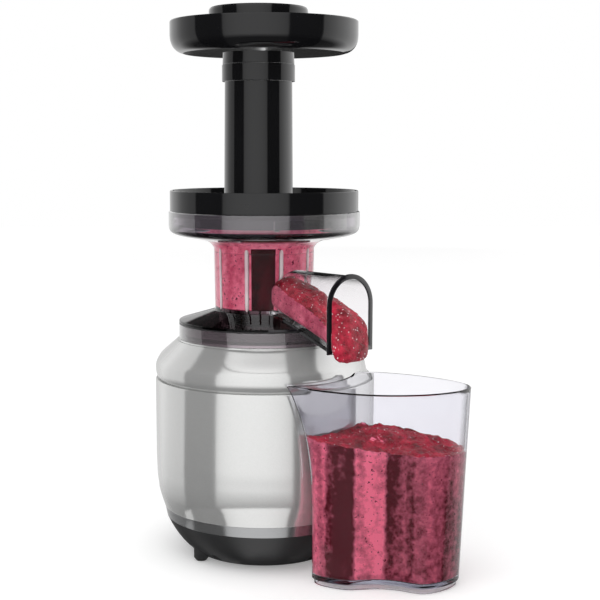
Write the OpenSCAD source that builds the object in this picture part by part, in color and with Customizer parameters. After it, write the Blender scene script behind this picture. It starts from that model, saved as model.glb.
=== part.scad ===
// Vertical cold press juicer with its jug, in millimetres, +Z up.
// The drive axis stands at x = 0, y = 0 and the table is z = 0.

/* [Motor base] */
// Half width of the base at its widest
base_r = 79.6; // [76:0.2:84]
// Half of the straight stretch that makes the base oval, front to back
base_mid = 9; // [4:0.5:14]
// Wall of the silver shell and of the shoulder cap
shell_wall = 2.8; // [2:0.1:4]
// Height of the pan's flat underside above the table
foot_drop = 1.5; // [1:0.1:3]
// Height of the joint between pan and trim band
pan_top = 28; // [24:0.5:30]
// Height of the joint between trim band and silver shell
band_top = 36; // [33:0.5:40]
// Height of the crease between shell and shoulder cap
crease_z = 130; // [126:0.5:134]
// Height of the shoulder cap's flat top
cap_top = 158; // [156:0.5:162]
// Radius of the shoulder cap's flat top
cap_top_r = 63; // [61:0.5:66]
// Depth of the shallow relief on the jug's side of the shoulder
relief_depth = 6.5; // [2:0.5:8]

/* [Bowl and press chamber] */
// Outer radius of the bowl's collar
collar_r = 62.8; // [60:0.2:64]
// Height of the collar's top edge
collar_top = 168.6; // [167:0.2:171]
// Outer radius of the ribbed neck at its top
neck_r = 36.8; // [36:0.1:38]
// Height at which the skirt meets the neck
neck_foot = 179; // [177:0.5:182]
// Height at which the neck opens into the funnel
neck_top = 224.5; // [222:0.5:228]
// Outer radius of the clear ring under the lid
ring_r = 70; // [68:0.2:72]
// Height of the clear ring's top edge
ring_top = 251; // [248:0.5:256]
// Wall of the clear mouldings
clear_wall = 2.6; // [2:0.1:3]
// Number of ribs round the neck
neck_ribs = 8; // [5:1:12]
// Number of bayonet places round the clear ring
bayonets = 3; // [2:1:4]

/* [Chute] */
// Heading of the chute, seen from above, from +X towards the front
chute_heading = -50; // [-60:1:-40]
// Outer half width of the chute, which is its arch's radius
chute_r = 20; // [18:0.5:21]
// Wall of the chute
chute_wall = 2.2; // [1.6:0.1:3]
// Height of the chute's ceiling
chute_top = 210; // [206:0.5:214]
// Distance of the chute's mouth from the drive axis
chute_reach = 93; // [86:1:98]
// Height of the chute's floor at its lip
lip_z = 160.5; // [159:0.5:163]
// Height of the chute's floor at its root
root_z = 182; // [181:0.5:184]

/* [Press] */
// Outer radius of the auger's flights
auger_r = 29; // [27:0.2:29.4]
// Radial gap between the flights and the strainer
press_gap = 1; // [0.6:0.1:1.5]
// Wall of the strainer
strainer_wall = 1.3; // [1:0.1:1.6]
// Number of slots round the strainer
slots = 24; // [16:1:32]
// Width of one slot
slot_w = 1.4; // [0.8:0.1:2]
// Turn of the flights over the pressing length, in degrees
flight_turn = 330; // [240:10:400]

/* [Lid, feed tube, tray and pusher] */
// Radius of the lid
lid_r = 69; // [67:0.2:71]
// Height of the lid's raised rim above its bottom edge
lid_h = 15.1; // [13:0.1:18]
// Feed tube's axis, sideways from the drive axis
feed_x = -4; // [-6:0.5:0]
// Feed tube's axis, front to back from the drive axis
feed_y = -8; // [-10:0.5:-4]
// Outer radius of the feed tube at its top
tube_r = 24.3; // [23:0.1:25.5]
// Wall of the feed tube
tube_wall = 2.4; // [2:0.1:3]
// Height of the feed tube's socket collar
socket_z = 344.5; // [335:0.5:350]
// Outer radius of the socket collar
socket_r = 26.3; // [25.8:0.1:28]
// Radius of the hopper tray's rim
tray_r = 68.3; // [64:0.2:72]
// Height of the underside of the hopper tray
tray_z = 365; // [362:0.5:370]
// Height of the hopper tray from underside to rim
tray_h = 23; // [20:0.5:28]
// Radius of the pusher's knob
knob_r = 35.6; // [33:0.2:38]
// Height of the pusher's knob
knob_h = 28.7; // [24:0.1:32]
// Length of the pusher's stem below the tray
stem_len = 96; // [70:1:104]

/* [Jug] */
// Wall of the jug
jug_wall = 2.2; // [1.8:0.1:2.6]
// Height of the jug's foot skirt
jug_foot = 4; // [3:0.5:5]
// Thickness of the jug's floor
jug_floor = 2.6; // [2:0.1:4]

/* [Gear train] */
// Module of the gear teeth
gear_m = 1; // [0.9:0.05:1.05]
// Teeth on each pinion
pinion_teeth = 12; // [10:1:14]
// Teeth on each wheel
wheel_teeth = 48; // [44:1:50]
// Play between meshing teeth, along the pitch circle
backlash = 0.16; // [0.1:0.02:0.3]
// Radius of the drive shaft
drive_r = 6; // [5:0.1:6.5]
// Width across the flats of the drive shaft's hexagon
hex_af = 10; // [8:0.1:10.2]

/* [Motor] */
// Outer radius of the stator
stator_r = 46; // [42:0.5:48]
// Radius of the rotor
rotor_r = 21.8; // [19:0.1:23]
// Height of the stator and rotor stacks
stack_h = 40; // [34:1:44]
// Radius of the motor shaft
shaft_r = 4; // [3:0.1:4.5]

/* [Fits] */
// Gap between faces of bodies that part or slide
slide_gap = 0.3; // [0.2:0.05:0.5]
// Radial play of a shaft in its bearing
shaft_gap = 0.05; // [0.02:0.01:0.1]
// Gap between mouldings that are fixed together
fixed_gap = 0.1; // [0.05:0.01:0.2]

/* [Hidden] */
$fn = 96;
eps = 0.01;            // overshoot of a cutting tool past the face it opens

// Colours
silver = [0.80, 0.80, 0.79];
black = [0.07, 0.07, 0.07];
graphite = [0.45, 0.45, 0.46];
smoke = [0.55, 0.48, 0.56, 0.45];
clear = [0.86, 0.85, 0.93, 0.35];
steel = [0.62, 0.63, 0.65];
copper = [0.72, 0.42, 0.22];
rubber = [0.12, 0.12, 0.12];
cream = [0.86, 0.84, 0.78];
green = [0.12, 0.36, 0.20];

// ---------- shared shapes ----------

// A ring-shaped or solid body turned from a profile, stretched by 2*mid front to back
module oval_turn(mid) {
  for (end = [0, 1]) mirror([0, end, 0]) translate([0, mid, 0]) rotate_extrude(angle = 180) children();
  rotate([90, 0, 0]) for (side = [0, 1]) mirror([side, 0, 0])
    linear_extrude(2 * mid, center = true) children();
}

// Flat oval disc between two heights
module oval_disc(r, z0, z1, mid) {
  translate([0, 0, z0]) {
    for (end = [-1, 1]) translate([0, end * mid, 0]) cylinder(h = z1 - z0, r = r);
    translate([-r, -mid, 0]) cube([2 * r, 2 * mid, z1 - z0]);
  }
}

module tube(r_out, r_in, z0, z1) {
  translate([0, 0, z0]) difference() {
    cylinder(h = z1 - z0, r = r_out);
    translate([0, 0, -eps]) cylinder(h = z1 - z0 + 2 * eps, r = r_in);
  }
}

module disc(r, z0, z1) {
  translate([0, 0, z0]) cylinder(h = z1 - z0, r = r);
}

// Children copied n times round the Z axis
module around(n, start = 0) {
  for (i = [0 : n - 1]) rotate([0, 0, start + 360 * i / n]) children();
}

// Part of a ring between two angles, exact on its curved faces
module ring_arc(r_out, r_in, z0, z1, from, to) {
  rotate([0, 0, from]) rotate_extrude(angle = to - from)
    translate([r_in, z0]) square([r_out - r_in, z1 - z0]);
}

function flatten(lists) = [for (list = lists) for (item = list) item];

// Closed skin over rings of equally many points, with flat ends
module loft(rings) {
  count = len(rings);
  n = len(rings[0]);
  sides = [for (k = [0 : count - 2], i = [0 : n - 1]) let (j = (i + 1) % n)
    each [[k * n + i, (k + 1) * n + i, k * n + j], [k * n + j, (k + 1) * n + i, (k + 1) * n + j]]];
  first_end = [[for (i = [0 : n - 1]) i]];
  last_end = [[for (i = [n - 1 : -1 : 0]) (count - 1) * n + i]];
  polyhedron(points = flatten(rings), faces = concat(sides, first_end, last_end));
}

module on_feed_axis() {
  translate([feed_x, feed_y, 0]) children();
}

module on_chute() {
  rotate([0, 0, chute_heading]) children();
}

// A place on the base's rounded back, with local +X pointing straight out
module on_back(heading) {
  translate([0, base_mid, 0]) rotate([0, 0, heading]) children();
}

// ---------- base: profile radii ----------

function back(list) = [for (i = [len(list) - 1 : -1 : 0]) list[i]];

pan_floor_r = 50;      // flat underside of the pan
pan_wall = 2.6;        // wall of the pan
pan_inside = foot_drop + 3;
pan_top_r = base_r - 7.6;

// Quadratic curve from a to c, pulled towards b
function bow(a, b, c, steps = 8) =
  [for (i = [0 : steps]) let (t = i / steps) (1 - t) * (1 - t) * a + 2 * t * (1 - t) * b + t * t * c];

pan_outer = bow([pan_floor_r, foot_drop], [pan_top_r - 9, foot_drop + 7.5], [pan_top_r, pan_top]);
pan_inner = bow([pan_floor_r - 2, pan_inside], [pan_top_r - 11.5, foot_drop + 10],
                [pan_top_r - pan_wall, pan_top]);
band_r = base_r - 5.6;                       // band's radius at its top
shell_outer = [[band_r, band_top], [base_r - 3.6, band_top + 6], [base_r - 1.9, band_top + 12],
               [base_r - 0.6, band_top + 22], [base_r, band_top + 38], [base_r, crease_z - 0.8],
               [base_r - 0.8, crease_z]];
shell_rows = len(shell_outer);
// the shell's inside stays straight at the top, where the cap's tongue slides in
shell_inner = concat([[base_r - shell_wall, crease_z]],
                     [for (k = [shell_rows - 2 : -1 : 0]) shell_outer[k] - [shell_wall, 0]]);

feet_r = 4.6;          // radius of a rubber foot
feet_x = 45.5;         // feet stand this far to each side
feet_y = 40;           // and this far to front and back
screw_x = 34;          // pan screws, to each side
screw_y = 52;          // and to front and back
screw_r = 1.6;
boss_r = 4;
tower_r = norm([screw_x, screw_y - base_mid]);

module at_corners(x, y) {
  for (sx = [-1, 1], sy = [-1, 1]) translate([sx * x, sy * y, 0]) children();
}

// Everything inside the pan's outer skin, open upwards
module pan_envelope() oval_turn(base_mid)
  polygon(concat([[0, foot_drop]], pan_outer, [[pan_top_r, board_top], [0, board_top]]));

module base_pan() color(black) difference() {
  union() {
    difference() {
      oval_turn(base_mid) polygon(concat([[0, foot_drop]], pan_outer, back(pan_inner), [[0, pan_inside]]));
      // cooling slots under the fan
      for (row = [-3 : 3]) translate([-22, row * 7 - 1.5, 0]) cube([44, 3, pan_inside + 1]);
    }
    intersection() {
      union() {
        at_corners(screw_x, screw_y) disc(boss_r + 1, foot_drop, pan_top);
        for (side = [-1, 1]) translate([side * board_half - 3, board_y - 3, foot_drop])
          cube([6, 7.8, board_top - foot_drop - 12]);
      }
      pan_envelope();
    }
    // boss round each foot, just outside the flat underside
    at_corners(feet_x, feet_y) disc(feet_r + 0.8, foot_drop + 0.6, foot_drop + 10);
    around(4, 45) translate([damper_r - 4, -4, pan_inside - 1]) cube([8, 8, damper_z - pan_inside + 1]);
  }
  at_corners(feet_x, feet_y) disc(feet_r, -1, foot_drop + 5);
  at_corners(screw_x, screw_y) {
    disc(screw_r + fixed_gap, -1, pan_top + 1);
    disc(3.4, -1, pan_top - 14);
  }
  // slot in each board guide
  translate([-board_half - fixed_gap, board_y - fixed_gap, board_z])
    cube([2 * (board_half + fixed_gap), board_t + 2 * fixed_gap, board_top]);
}

module rubber_feet() color(rubber) at_corners(feet_x, feet_y) {
  disc(feet_r, foot_drop - 0.5, foot_drop + 5);
  disc(feet_r - 0.8, 0, foot_drop - 0.5);
}

module pan_screws() color(steel) at_corners(screw_x, screw_y) difference() {
  union() {
    disc(3.1, pan_top - 16.4, pan_top - 14);
    disc(screw_r, pan_top - 14, pan_top + 12);
  }
  disc(1.2, pan_top - 17, pan_top - 15.2);
}

module trim_band() color(graphite) oval_turn(base_mid)
  polygon([[pan_top_r - pan_wall, pan_top], [pan_top_r, pan_top], [band_r - 0.3, band_top],
           [band_r - pan_wall - 0.6, band_top]]);

module body_shell() color(silver) difference() {
  union() {
    oval_turn(base_mid) polygon(concat(shell_outer, shell_inner));
    // screw towers for the pan, tied to the wall by webs
    for (sx = [-1, 1], sy = [-1, 1]) translate([sx * screw_x, sy * screw_y, band_top]) {
      cylinder(h = 22, r = boss_r);
      rotate([0, 0, atan2(sy * (screw_y - base_mid), sx * screw_x)]) translate([0, -1, 0])
        cube([band_r - 1 - tower_r, 2, 22]);
    }
  }
  at_corners(screw_x, screw_y) disc(screw_r + fixed_gap, band_top - 1, band_top + 16);
  on_back(switch_heading) translate([0, -switch_w / 2, switch_z - switch_h / 2])
    cube([base_r + 10, switch_w, switch_h]);
  on_back(gland_heading) translate([60, 0, gland_z]) rotate([0, 90, 0]) cylinder(h = 40, r = gland_r);
}

// ---------- shoulder cap ----------

hub_r = 15;            // hub that stands up into the bowl
hub_top = cap_top + 6;
bush_r = drive_r + 3;
relief_heading = -20;  // the relief's middle, from +X towards the front
relief_half = 62;      // half the angle that the relief covers
// Levels of the shoulder from top to crease: radius, height, oval stretch, share of the relief
shoulder = [[cap_top_r, cap_top, 0.5, 0], [base_r - 3.4, crease_z + 15.9, base_mid * 0.85, 0.93],
            [base_r - 1.3, crease_z + 13.3, base_mid, 1], [base_r - 0.3, crease_z + 10.8, base_mid, 1],
            [base_r, crease_z + 8, base_mid, 0.93], [base_r - 0.3, crease_z + 4.6, base_mid, 0.72],
            [base_r - 1.3, crease_z + 1.8, base_mid, 0.2], [base_r - 2.6, crease_z, base_mid, 0]];
cap_steps = 32;        // straight steps in each half of a shoulder ring

function relief(a) = let (off = abs(a - relief_heading) % 360, turn = min(off, 360 - off))
  turn > relief_half ? 0 : relief_depth * (1 + cos(180 * turn / relief_half)) / 2;

// Oval ring at one level of the shoulder, with the relief that faces the jug
function shoulder_ring(level, inset, lower) =
  [for (end = [1, -1], k = [0 : cap_steps])
    let (a = (end > 0 ? 0 : 180) + 180 * k / cap_steps, r = level[0] - inset - level[3] * relief(a))
    [r * cos(a), r * sin(a) + end * level[2], level[1] - lower]];

module shoulder_cap() color(silver) difference() {
  union() {
    // skin: down the inside from the ceiling to the crease, then up the outside
    loft(concat([for (k = [0 : len(shoulder) - 3]) shoulder_ring(shoulder[k], shell_wall, shell_wall)],
                [shoulder_ring(shoulder[len(shoulder) - 1], shell_wall, 0)],
                [for (k = [len(shoulder) - 1 : -1 : 0]) shoulder_ring(shoulder[k], 0, 0)]));
    // tongue inside the shell
    difference() {
      oval_disc(base_r - shell_wall - fixed_gap, crease_z - 6, crease_z + 0.5, base_mid);
      oval_disc(base_r - 2 * shell_wall - 1.2, crease_z - 7, crease_z + 2, base_mid);
    }
    tube(cap_top_r - 3, cap_top_r - 5.2, cap_top - 1, cap_top + 2.1);
    disc(hub_r, cap_top - shell_wall - 6, hub_top);
    // posts that carry the gearbox
    for (spot = gearbox_spots) translate([spot[0], spot[1], 0])
      disc(boss_r, case_top + lid_t, cap_top - 1);
  }
  disc(bush_r, cap_top - shell_wall - 7, hub_top - 3);
  disc(drive_r + 4.5, hub_top - 3 - eps, hub_top + 1);
  for (spot = gearbox_spots) translate([spot[0], spot[1], 0])
    disc(screw_r + fixed_gap, case_top, cap_top - 2);
}

// ---------- switch and cord gland ----------

switch_heading = 135;
switch_z = 95;
switch_w = 16;         // opening in the shell
switch_h = 28;
rocker_pivot = base_r - 3;
gland_heading = 45;
gland_z = 60;
gland_r = 6;

module on_switch() {
  on_back(switch_heading) translate([0, 0, switch_z]) children();
}

module slab(size_x, size_y, size_z, x0) {
  translate([x0, -size_y / 2, -size_z / 2]) cube([size_x, size_y, size_z]);
}

module switch_bezel() color(black) on_switch() difference() {
  union() {
    slab(9, switch_w - 2 * fixed_gap, switch_h - 2 * fixed_gap, base_r - 8);
    intersection() {
      slab(6, switch_w + 5, switch_h + 5, base_r - 1.5);
      translate([0, 0, -30]) difference() {
        cylinder(h = 60, r = base_r + 1.2);
        translate([0, 0, -1]) cylinder(h = 62, r = base_r + fixed_gap);
      }
    }
  }
  slab(30, switch_w - 4, switch_h - 5, base_r - 20);
  translate([rocker_pivot, 0, 0]) rotate([90, 0, 0])
    cylinder(h = switch_w - 2.8, r = 1.2 + shaft_gap, center = true);
}

module switch_rocker() color(black) on_switch() translate([rocker_pivot, 0, 0]) {
  intersection() {
    slab(8, switch_w - 4.8, switch_h - 6.4, -2.6);
    // rocker face: a shallow vee, low in the middle
    rotate([90, 0, 0]) linear_extrude(switch_w, center = true)
      polygon([[-1.5, -9.8], [-2.6, 0], [-1.5, 9.8], [4.6, 10.4], [2.6, 0], [4.6, -10.4]]);
  }
  rotate([90, 0, 0]) cylinder(h = switch_w - 3.4, r = 1.2, center = true);
}

module switch_body() color(cream) on_switch() difference() {
  slab(18, switch_w - 2, switch_h - 3, base_r - 8.2 - 18);
  for (pole = [-1, 1]) slab(6, 4, 3, base_r - 30);
}

module cord_gland() color(rubber) on_back(gland_heading) translate([0, 0, gland_z]) rotate([0, 90, 0])
  difference() {
    union() {
      translate([0, 0, base_r + fixed_gap]) cylinder(h = 2.5, r = gland_r + 3);
      translate([0, 0, base_r - shell_wall - 4.2]) cylinder(h = 2.5, r = gland_r + 2);
      translate([0, 0, base_r - 12]) cylinder(h = 14, r = gland_r - fixed_gap);
      translate([0, 0, base_r + 2]) cylinder(h = 9, r1 = gland_r, r2 = 4.6);
    }
    translate([0, 0, base_r - 13]) cylinder(h = 30, r = 3.2);
  }

// ---------- electronics ----------

board_half = 30;       // half the board's length
board_y = base_r - 17.6; // the board keeps this far inside the shell's side
board_t = 1.6;
board_z = 20;
board_top = 66;
can_r = 7.6;           // run capacitor's radius, length and height
can_len = 36;
can_z = 58;

module control_board() color(green) {
  translate([-board_half, board_y, board_z]) cube([2 * board_half, board_t, board_top - board_z]);
  translate([-24, board_y - 9, 44]) cube([14, 9, 16]);
  translate([-4, board_y - 7, 46]) cube([18, 7, 12]);
  translate([18, board_y - 5, 30]) cube([8, 5, 22]);
}

module run_capacitor() color(steel)
  translate([-can_len / 2, board_y + board_t + can_r, can_z]) rotate([0, 90, 0])
    cylinder(h = can_len, r = can_r);

// ---------- motor ----------

stack_z = 38;                                // bottom of the stator stack
stack_top = stack_z + stack_h;
low_plate = stack_z - 14;                    // lower bracket
top_plate = stack_top + 12;                  // upper bracket
bearing_r = 11;
bearing_h = 7;
bolt_ring = stator_r - 3.5;
bolt_r = 2;
damper_r = stator_r - 12;
damper_z = low_plate - 4;
air_gap = 0.5;
plate_t = 4;

module bracket(z, boss_z) difference() {
  union() {
    tube(stator_r, stator_r - 9, z, z + plate_t);
    around(4, 45) translate([6, -4, z]) cube([stator_r - 8, 8, plate_t]);
    disc(bearing_r + 2.5, min(z, boss_z), max(z + plate_t, boss_z + bearing_h + 1));
  }
  disc(bearing_r, boss_z - (boss_z < z ? 1 : 0), boss_z + bearing_h + (boss_z < z ? 0 : 2));
  disc(shaft_r + 2, z - 20, z + 20);
  around(4, 45) translate([bolt_ring, 0, z - 1]) cylinder(h = plate_t + 2, r = bolt_r + fixed_gap);
}

low_bearing = low_plate + 1.5;
top_bearing = top_plate - 4.5;

module lower_bracket() color(steel) bracket(low_plate, low_bearing);

module upper_bracket() color(steel) bracket(top_plate, top_bearing);

module motor_bearings() color(steel) for (z = [low_bearing, top_bearing])
  tube(bearing_r, shaft_r + shaft_gap, z, z + bearing_h);

module motor_damper() color(rubber) around(4, 45) translate([damper_r - 3, -3, damper_z])
  cube([6, 6, low_plate - damper_z]);

module stator_core() color(steel) difference() {
  disc(stator_r, stack_z, stack_top);
  disc(rotor_r + air_gap, stack_z - 1, stack_top + 1);
  // winding slots round the bore
  around(12) translate([rotor_r + 2, -3, stack_z - 1]) cube([12, 6, stack_h + 2]);
  around(4, 45) translate([bolt_ring, 0, stack_z - 1]) cylinder(h = stack_h + 2, r = bolt_r + fixed_gap);
}

module end_turns(z0, z1) rotate_extrude() translate([rotor_r + 3, z0])
  polygon([[0, 0], [14, 0], [14, z1 - z0], [0, z1 - z0]]);

module stator_windings() color(copper) difference() {
  union() {
    end_turns(stack_z - 7, stack_z);
    end_turns(stack_top, stack_top + 7);
    around(12) translate([rotor_r + 3, -2.8, stack_z - eps]) cube([10.8, 5.6, stack_h + 2 * eps]);
  }
}

module motor_bolts() color(steel) around(4, 45) translate([bolt_ring, 0, 0]) {
  disc(3.6, low_plate - 2.5, low_plate);
  disc(bolt_r, low_plate, case_z + 3.4);
}

module rotor_core() color(steel) difference() {
  union() {
    disc(rotor_r, stack_z, stack_top);
    disc(rotor_r - 2, stack_z - 4, stack_top + 4);
  }
  disc(shaft_r, stack_z - 5, stack_top + 5);
}

module motor_shaft() color(steel) {
  disc(shaft_r, 10, pinion_z + eps);
  translate([0, 0, pinion_z]) gear(pinion_teeth, 10, 0);
}

fan_z = 11;
fan_r = damper_r - 5.5;

module cooling_fan() color(black) difference() {
  union() {
    tube(8, shaft_r, fan_z, fan_z + 8);
    tube(fan_r, 7, fan_z, fan_z + 1.6);
    around(9) translate([7, -0.7, fan_z]) rotate([0, 0, -18]) cube([fan_r - 8.4, 1.4, 8]);
  }
  disc(shaft_r, fan_z - 1, fan_z + 10);
}

// ---------- gearbox ----------

case_z = top_plate + plate_t;                // underside of the case
case_wall = 3;
case_rise = 0.8;                             // the case's floor stands above its arms' pads
pinion_z = case_z + 8;
wheel_w = 8;
case_top = 140;
lid_t = 4;
shaft_gap_z = 2;
centre_dist = gear_m * (pinion_teeth + wheel_teeth) / 2;
wheel_clear = gear_m * (wheel_teeth / 2 + 1) + 2;
low_wheel_z = pinion_z + 1;
top_wheel_z = low_wheel_z + wheel_w + shaft_gap_z;
top_wheel_w = 11;
gearbox_spots = [for (s = [-1, 1], y = [4, centre_dist - 2]) [s * (wheel_clear + case_wall + 3.4), y]];

// Involute flank: angle, in degrees, that the tooth's flank has turned through at radius r
function inv_angle(rb, r) = let (t = sqrt(max(0, pow(r / rb, 2) - 1))) t * 180 / PI - atan(t);

// Half tooth angle at radius r for a gear with the given pitch and base radii
function half_tooth(teeth, rp, rb, r) =
  90 / teeth - backlash / (4 * rp) * 180 / PI + inv_angle(rb, rp) - inv_angle(rb, max(r, rb));

function gear_points(teeth) =
  let (rp = gear_m * teeth / 2, rb = rp * cos(20), ra = rp + 0.92 * gear_m, rf = rp - 1.25 * gear_m,
       radii = [rf, max(rb, rf + 0.1), rp, (rp + ra) / 2, ra])
  [for (tooth = [0 : teeth - 1], side = [-1, 1], k = [0 : len(radii) - 1])
    let (r = side < 0 ? radii[k] : radii[len(radii) - 1 - k],
         a = 360 * tooth / teeth + side * half_tooth(teeth, rp, rb, r))
    r * [cos(a), sin(a)]];

// Gear with a tooth centred on angle 0 plus the given turn
module gear(teeth, width, turn) rotate([0, 0, turn]) linear_extrude(width)
  polygon(gear_points(teeth));

// Space or shell round both gear axes
module twin_disc(r, z0, z1) translate([0, 0, z0]) {
  cylinder(h = z1 - z0, r = r);
  translate([0, centre_dist, 0]) cylinder(h = z1 - z0, r = r);
  translate([-r, 0, 0]) cube([2 * r, centre_dist, z1 - z0]);
}

module gearbox_lugs(z0, z1) for (spot = gearbox_spots) translate([spot[0], spot[1], 0])
  disc(boss_r + 1, z0, z1);

module gearbox_holes() for (spot = gearbox_spots) translate([spot[0], spot[1], 0])
  disc(screw_r + fixed_gap, case_z - 1, case_top + 20);

module gearbox_case() color(graphite) difference() {
  union() {
    twin_disc(wheel_clear + case_wall, case_z + case_rise, case_top);
    gearbox_lugs(case_top - 12, case_top);
    // feet that carry the motor's through bolts
    around(4, 45) translate([6, -4, case_z]) cube([bolt_ring - 2, 8, case_wall]);
    tube(stator_r - 2.4, stator_r - 8, case_z, case_z + case_wall);
  }
  difference() {
    twin_disc(wheel_clear, case_z + case_wall, case_top + 1);
    translate([0, centre_dist, 0]) disc(7, case_z, low_wheel_z - 0.6);
  }
  disc(shaft_r + 2, case_z - 1, case_z + 5);
  translate([0, centre_dist, 0]) disc(pin_r, pin_foot, case_top);
  around(4, 45) translate([bolt_ring, 0, case_z - 1]) cylinder(h = 6, r = bolt_r + fixed_gap);
  gearbox_holes();
}

module gearbox_lid() color(graphite) difference() {
  union() {
    twin_disc(wheel_clear + case_wall, case_top, case_top + lid_t);
    gearbox_lugs(case_top, case_top + lid_t);
    disc(bush_r + 3, case_top - 8, case_top + lid_t);
    translate([0, centre_dist, 0]) disc(pin_r + 4, pin_top - 1, case_top + lid_t);
  }
  disc(bush_r, case_top - 9, case_top + lid_t - 1);
  disc(drive_r + 1, case_top, case_top + lid_t + 1);
  translate([0, centre_dist, 0]) disc(pin_r, case_top - 20, pin_top + 5);
  gearbox_holes();
}

module gearbox_screws() color(steel) for (spot = gearbox_spots) translate([spot[0], spot[1], 0]) {
  disc(3.1, case_top - 14.4, case_top - 12);
  disc(screw_r, case_top - 12, cap_top - 3);
}

pin_r = 3;
pin_foot = case_z + 1.8;
pin_top = top_wheel_z + top_wheel_w + 3;

module layshaft_pin() color(steel) translate([0, centre_dist, 0])
  disc(pin_r, pin_foot, pin_top + 5);

// Wheel driven by the motor's pinion, with the second pinion on top of it
module layshaft_gear() color(cream) translate([0, centre_dist, 0]) difference() {
  union() {
    translate([0, 0, low_wheel_z]) gear(wheel_teeth, wheel_w, 180 / wheel_teeth);
    translate([0, 0, low_wheel_z + wheel_w - eps])
      gear(pinion_teeth, top_wheel_z + top_wheel_w + 1.4 - low_wheel_z - wheel_w, 0);
  }
  disc(pin_r + shaft_gap, case_z, pin_top);
  // lightening recess between hub and rim
  tube(wheel_teeth / 2 * gear_m - 4, 8, low_wheel_z - 1, low_wheel_z + 2.5);
}

module drive_gear() color(steel) difference() {
  translate([0, 0, top_wheel_z]) gear(wheel_teeth, top_wheel_w, 180 / wheel_teeth);
  disc(drive_r, top_wheel_z - 1, top_wheel_z + 20);
  tube(wheel_teeth / 2 * gear_m - 4, drive_r + 4, top_wheel_z + top_wheel_w - 3, top_wheel_z + 20);
  around(6, 30) translate([(drive_r + wheel_teeth / 2 * gear_m) / 2, 0, 0])
    disc(2.6, top_wheel_z - 1, top_wheel_z + 20);
}

hex_z = hub_top + 1.6;
hex_top = hex_z + 20;

module hexagon(af, z0, z1) translate([0, 0, z0]) cylinder(h = z1 - z0, r = af / sqrt(3), $fn = 6);

module drive_shaft() color(steel) {
  disc(drive_r, top_wheel_z, hex_z);
  difference() {
    hexagon(hex_af, hex_z - eps, hex_top);
    translate([0, 0, hex_top - 1.5]) tube(hex_af, hex_af / 2 + 0.1, 0, 3);
  }
}

module drive_bushes() color([0.72, 0.55, 0.30]) {
  tube(bush_r, drive_r + shaft_gap, case_top - 8, case_top + lid_t - 1);
  tube(bush_r, drive_r + shaft_gap, cap_top - shell_wall - 6, hub_top - 3);
}

module drive_seal() color(rubber) tube(drive_r + 4.5, drive_r + slide_gap, hub_top - 3, hub_top);

// ---------- bowl and press chamber ----------

bowl_foot = cap_top + slide_gap;             // bottom edge of the collar
bowl_floor = cap_top + 2.4;                  // underside of the floor
floor_t = 2;
chimney_top = hub_top + 3.2;
spout_half = 9;                              // half width of the juice spout
spout_wall = 2;
spout_y = base_r + base_mid + 7.4;           // far face of the spout's mouth, past the shoulder
spout_mouth_z = cap_top - 6;                 // bottom edge of the mouth
drip_y = spout_y + 2;                        // drip stop's hinge
drip_z = spout_mouth_z - 1;

module juice_bowl() color(smoke) difference() {
  union() {
    tube(collar_r, collar_r - clear_wall + 0.3, bowl_foot, collar_top);
    disc(collar_r - 1, bowl_floor, bowl_floor + floor_t);
    disc(hub_r + 0.5 + clear_wall, bowl_floor, chimney_top);
    // juice spout at the back, turned down at its end
    translate([-spout_half, collar_r - 3, bowl_floor])
      cube([2 * spout_half, spout_y - collar_r + 3, collar_top - bowl_floor]);
    translate([-spout_half, spout_y - 11, spout_mouth_z])
      cube([2 * spout_half, 11, collar_top - spout_mouth_z]);
    // ears for the drip stop's pin
    for (side = [-1, 1]) translate([side * (spout_half - 1.5) - 1.5, spout_y - eps, drip_z - 2])
      cube([3, 4.5, 7.5]);
  }
  disc(hub_r + 0.5, bowl_foot - 1, chimney_top - 2);
  disc(drive_r + 3.4, chimney_top - 3, chimney_top + 1);
  // juice channel through the wall and down the mouth
  translate([-spout_half + spout_wall, collar_r - 4, bowl_floor + floor_t])
    cube([2 * (spout_half - spout_wall), spout_y - collar_r + 2, collar_top - bowl_floor - floor_t - 1.8]);
  translate([-spout_half + spout_wall, spout_y - 9, spout_mouth_z - 1])
    cube([2 * (spout_half - spout_wall), 7, collar_top - spout_mouth_z - 0.8]);
  translate([0, drip_y, drip_z]) rotate([0, 90, 0]) cylinder(h = 40, r = 1.25, center = true);
}

module bowl_gasket() color(black) tube(collar_r - 0.2, collar_r - clear_wall - 0.6, collar_top,
                                       collar_top + 1);

module bowl_seal() color(rubber) {
  tube(drive_r + 3.4, drive_r + slide_gap, chimney_top - 2, chimney_top);
  tube(drive_r + 5, drive_r + slide_gap, chimney_top - 2.7, chimney_top - 2);
}

skirt_foot = collar_top + 1;                 // skirt's rim sits on the gasket
strainer_r = auger_r + press_gap + strainer_wall;
strainer_seat = neck_top - 3;                // ledge for the strainer's flange
neck_in = neck_r - clear_wall - 0.2;         // inside of the neck
flange_r = neck_in + 1;
ring_floor = ring_top - 17.4;                // lowest point of the ring's curved underside
ring_in = ring_r - clear_wall;
chamber_profile = concat(
  [[collar_r, skirt_foot], [collar_r, skirt_foot + 1.6], [neck_r - 0.8, neck_foot],
   [neck_r, neck_top], [neck_r + 2.2, neck_top + 3], [neck_r + 6.2, neck_top + 5.3],
   [neck_r + 11, neck_top + 6.5], [ring_r - 8, ring_floor], [ring_r - 2.5, ring_floor + 2],
   [ring_r - 0.5, ring_floor + 4.4], [ring_r, ring_floor + 7.4], [ring_r, ring_top]],
  [[ring_in, ring_top], [ring_in, ring_floor + 7.6], [ring_in - 1, ring_floor + 5],
   [ring_r - 8.5, ring_floor + 2.8], [neck_r + 10, neck_top + 9.2], [neck_r + 5, neck_top + 7.8],
   [flange_r + 1.6, neck_top + 4.6], [flange_r, neck_top + 1.5], [flange_r, strainer_seat],
   [neck_in, strainer_seat], [neck_in - 0.6, neck_foot - 0.6], [collar_r - clear_wall, skirt_foot]]);

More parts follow.
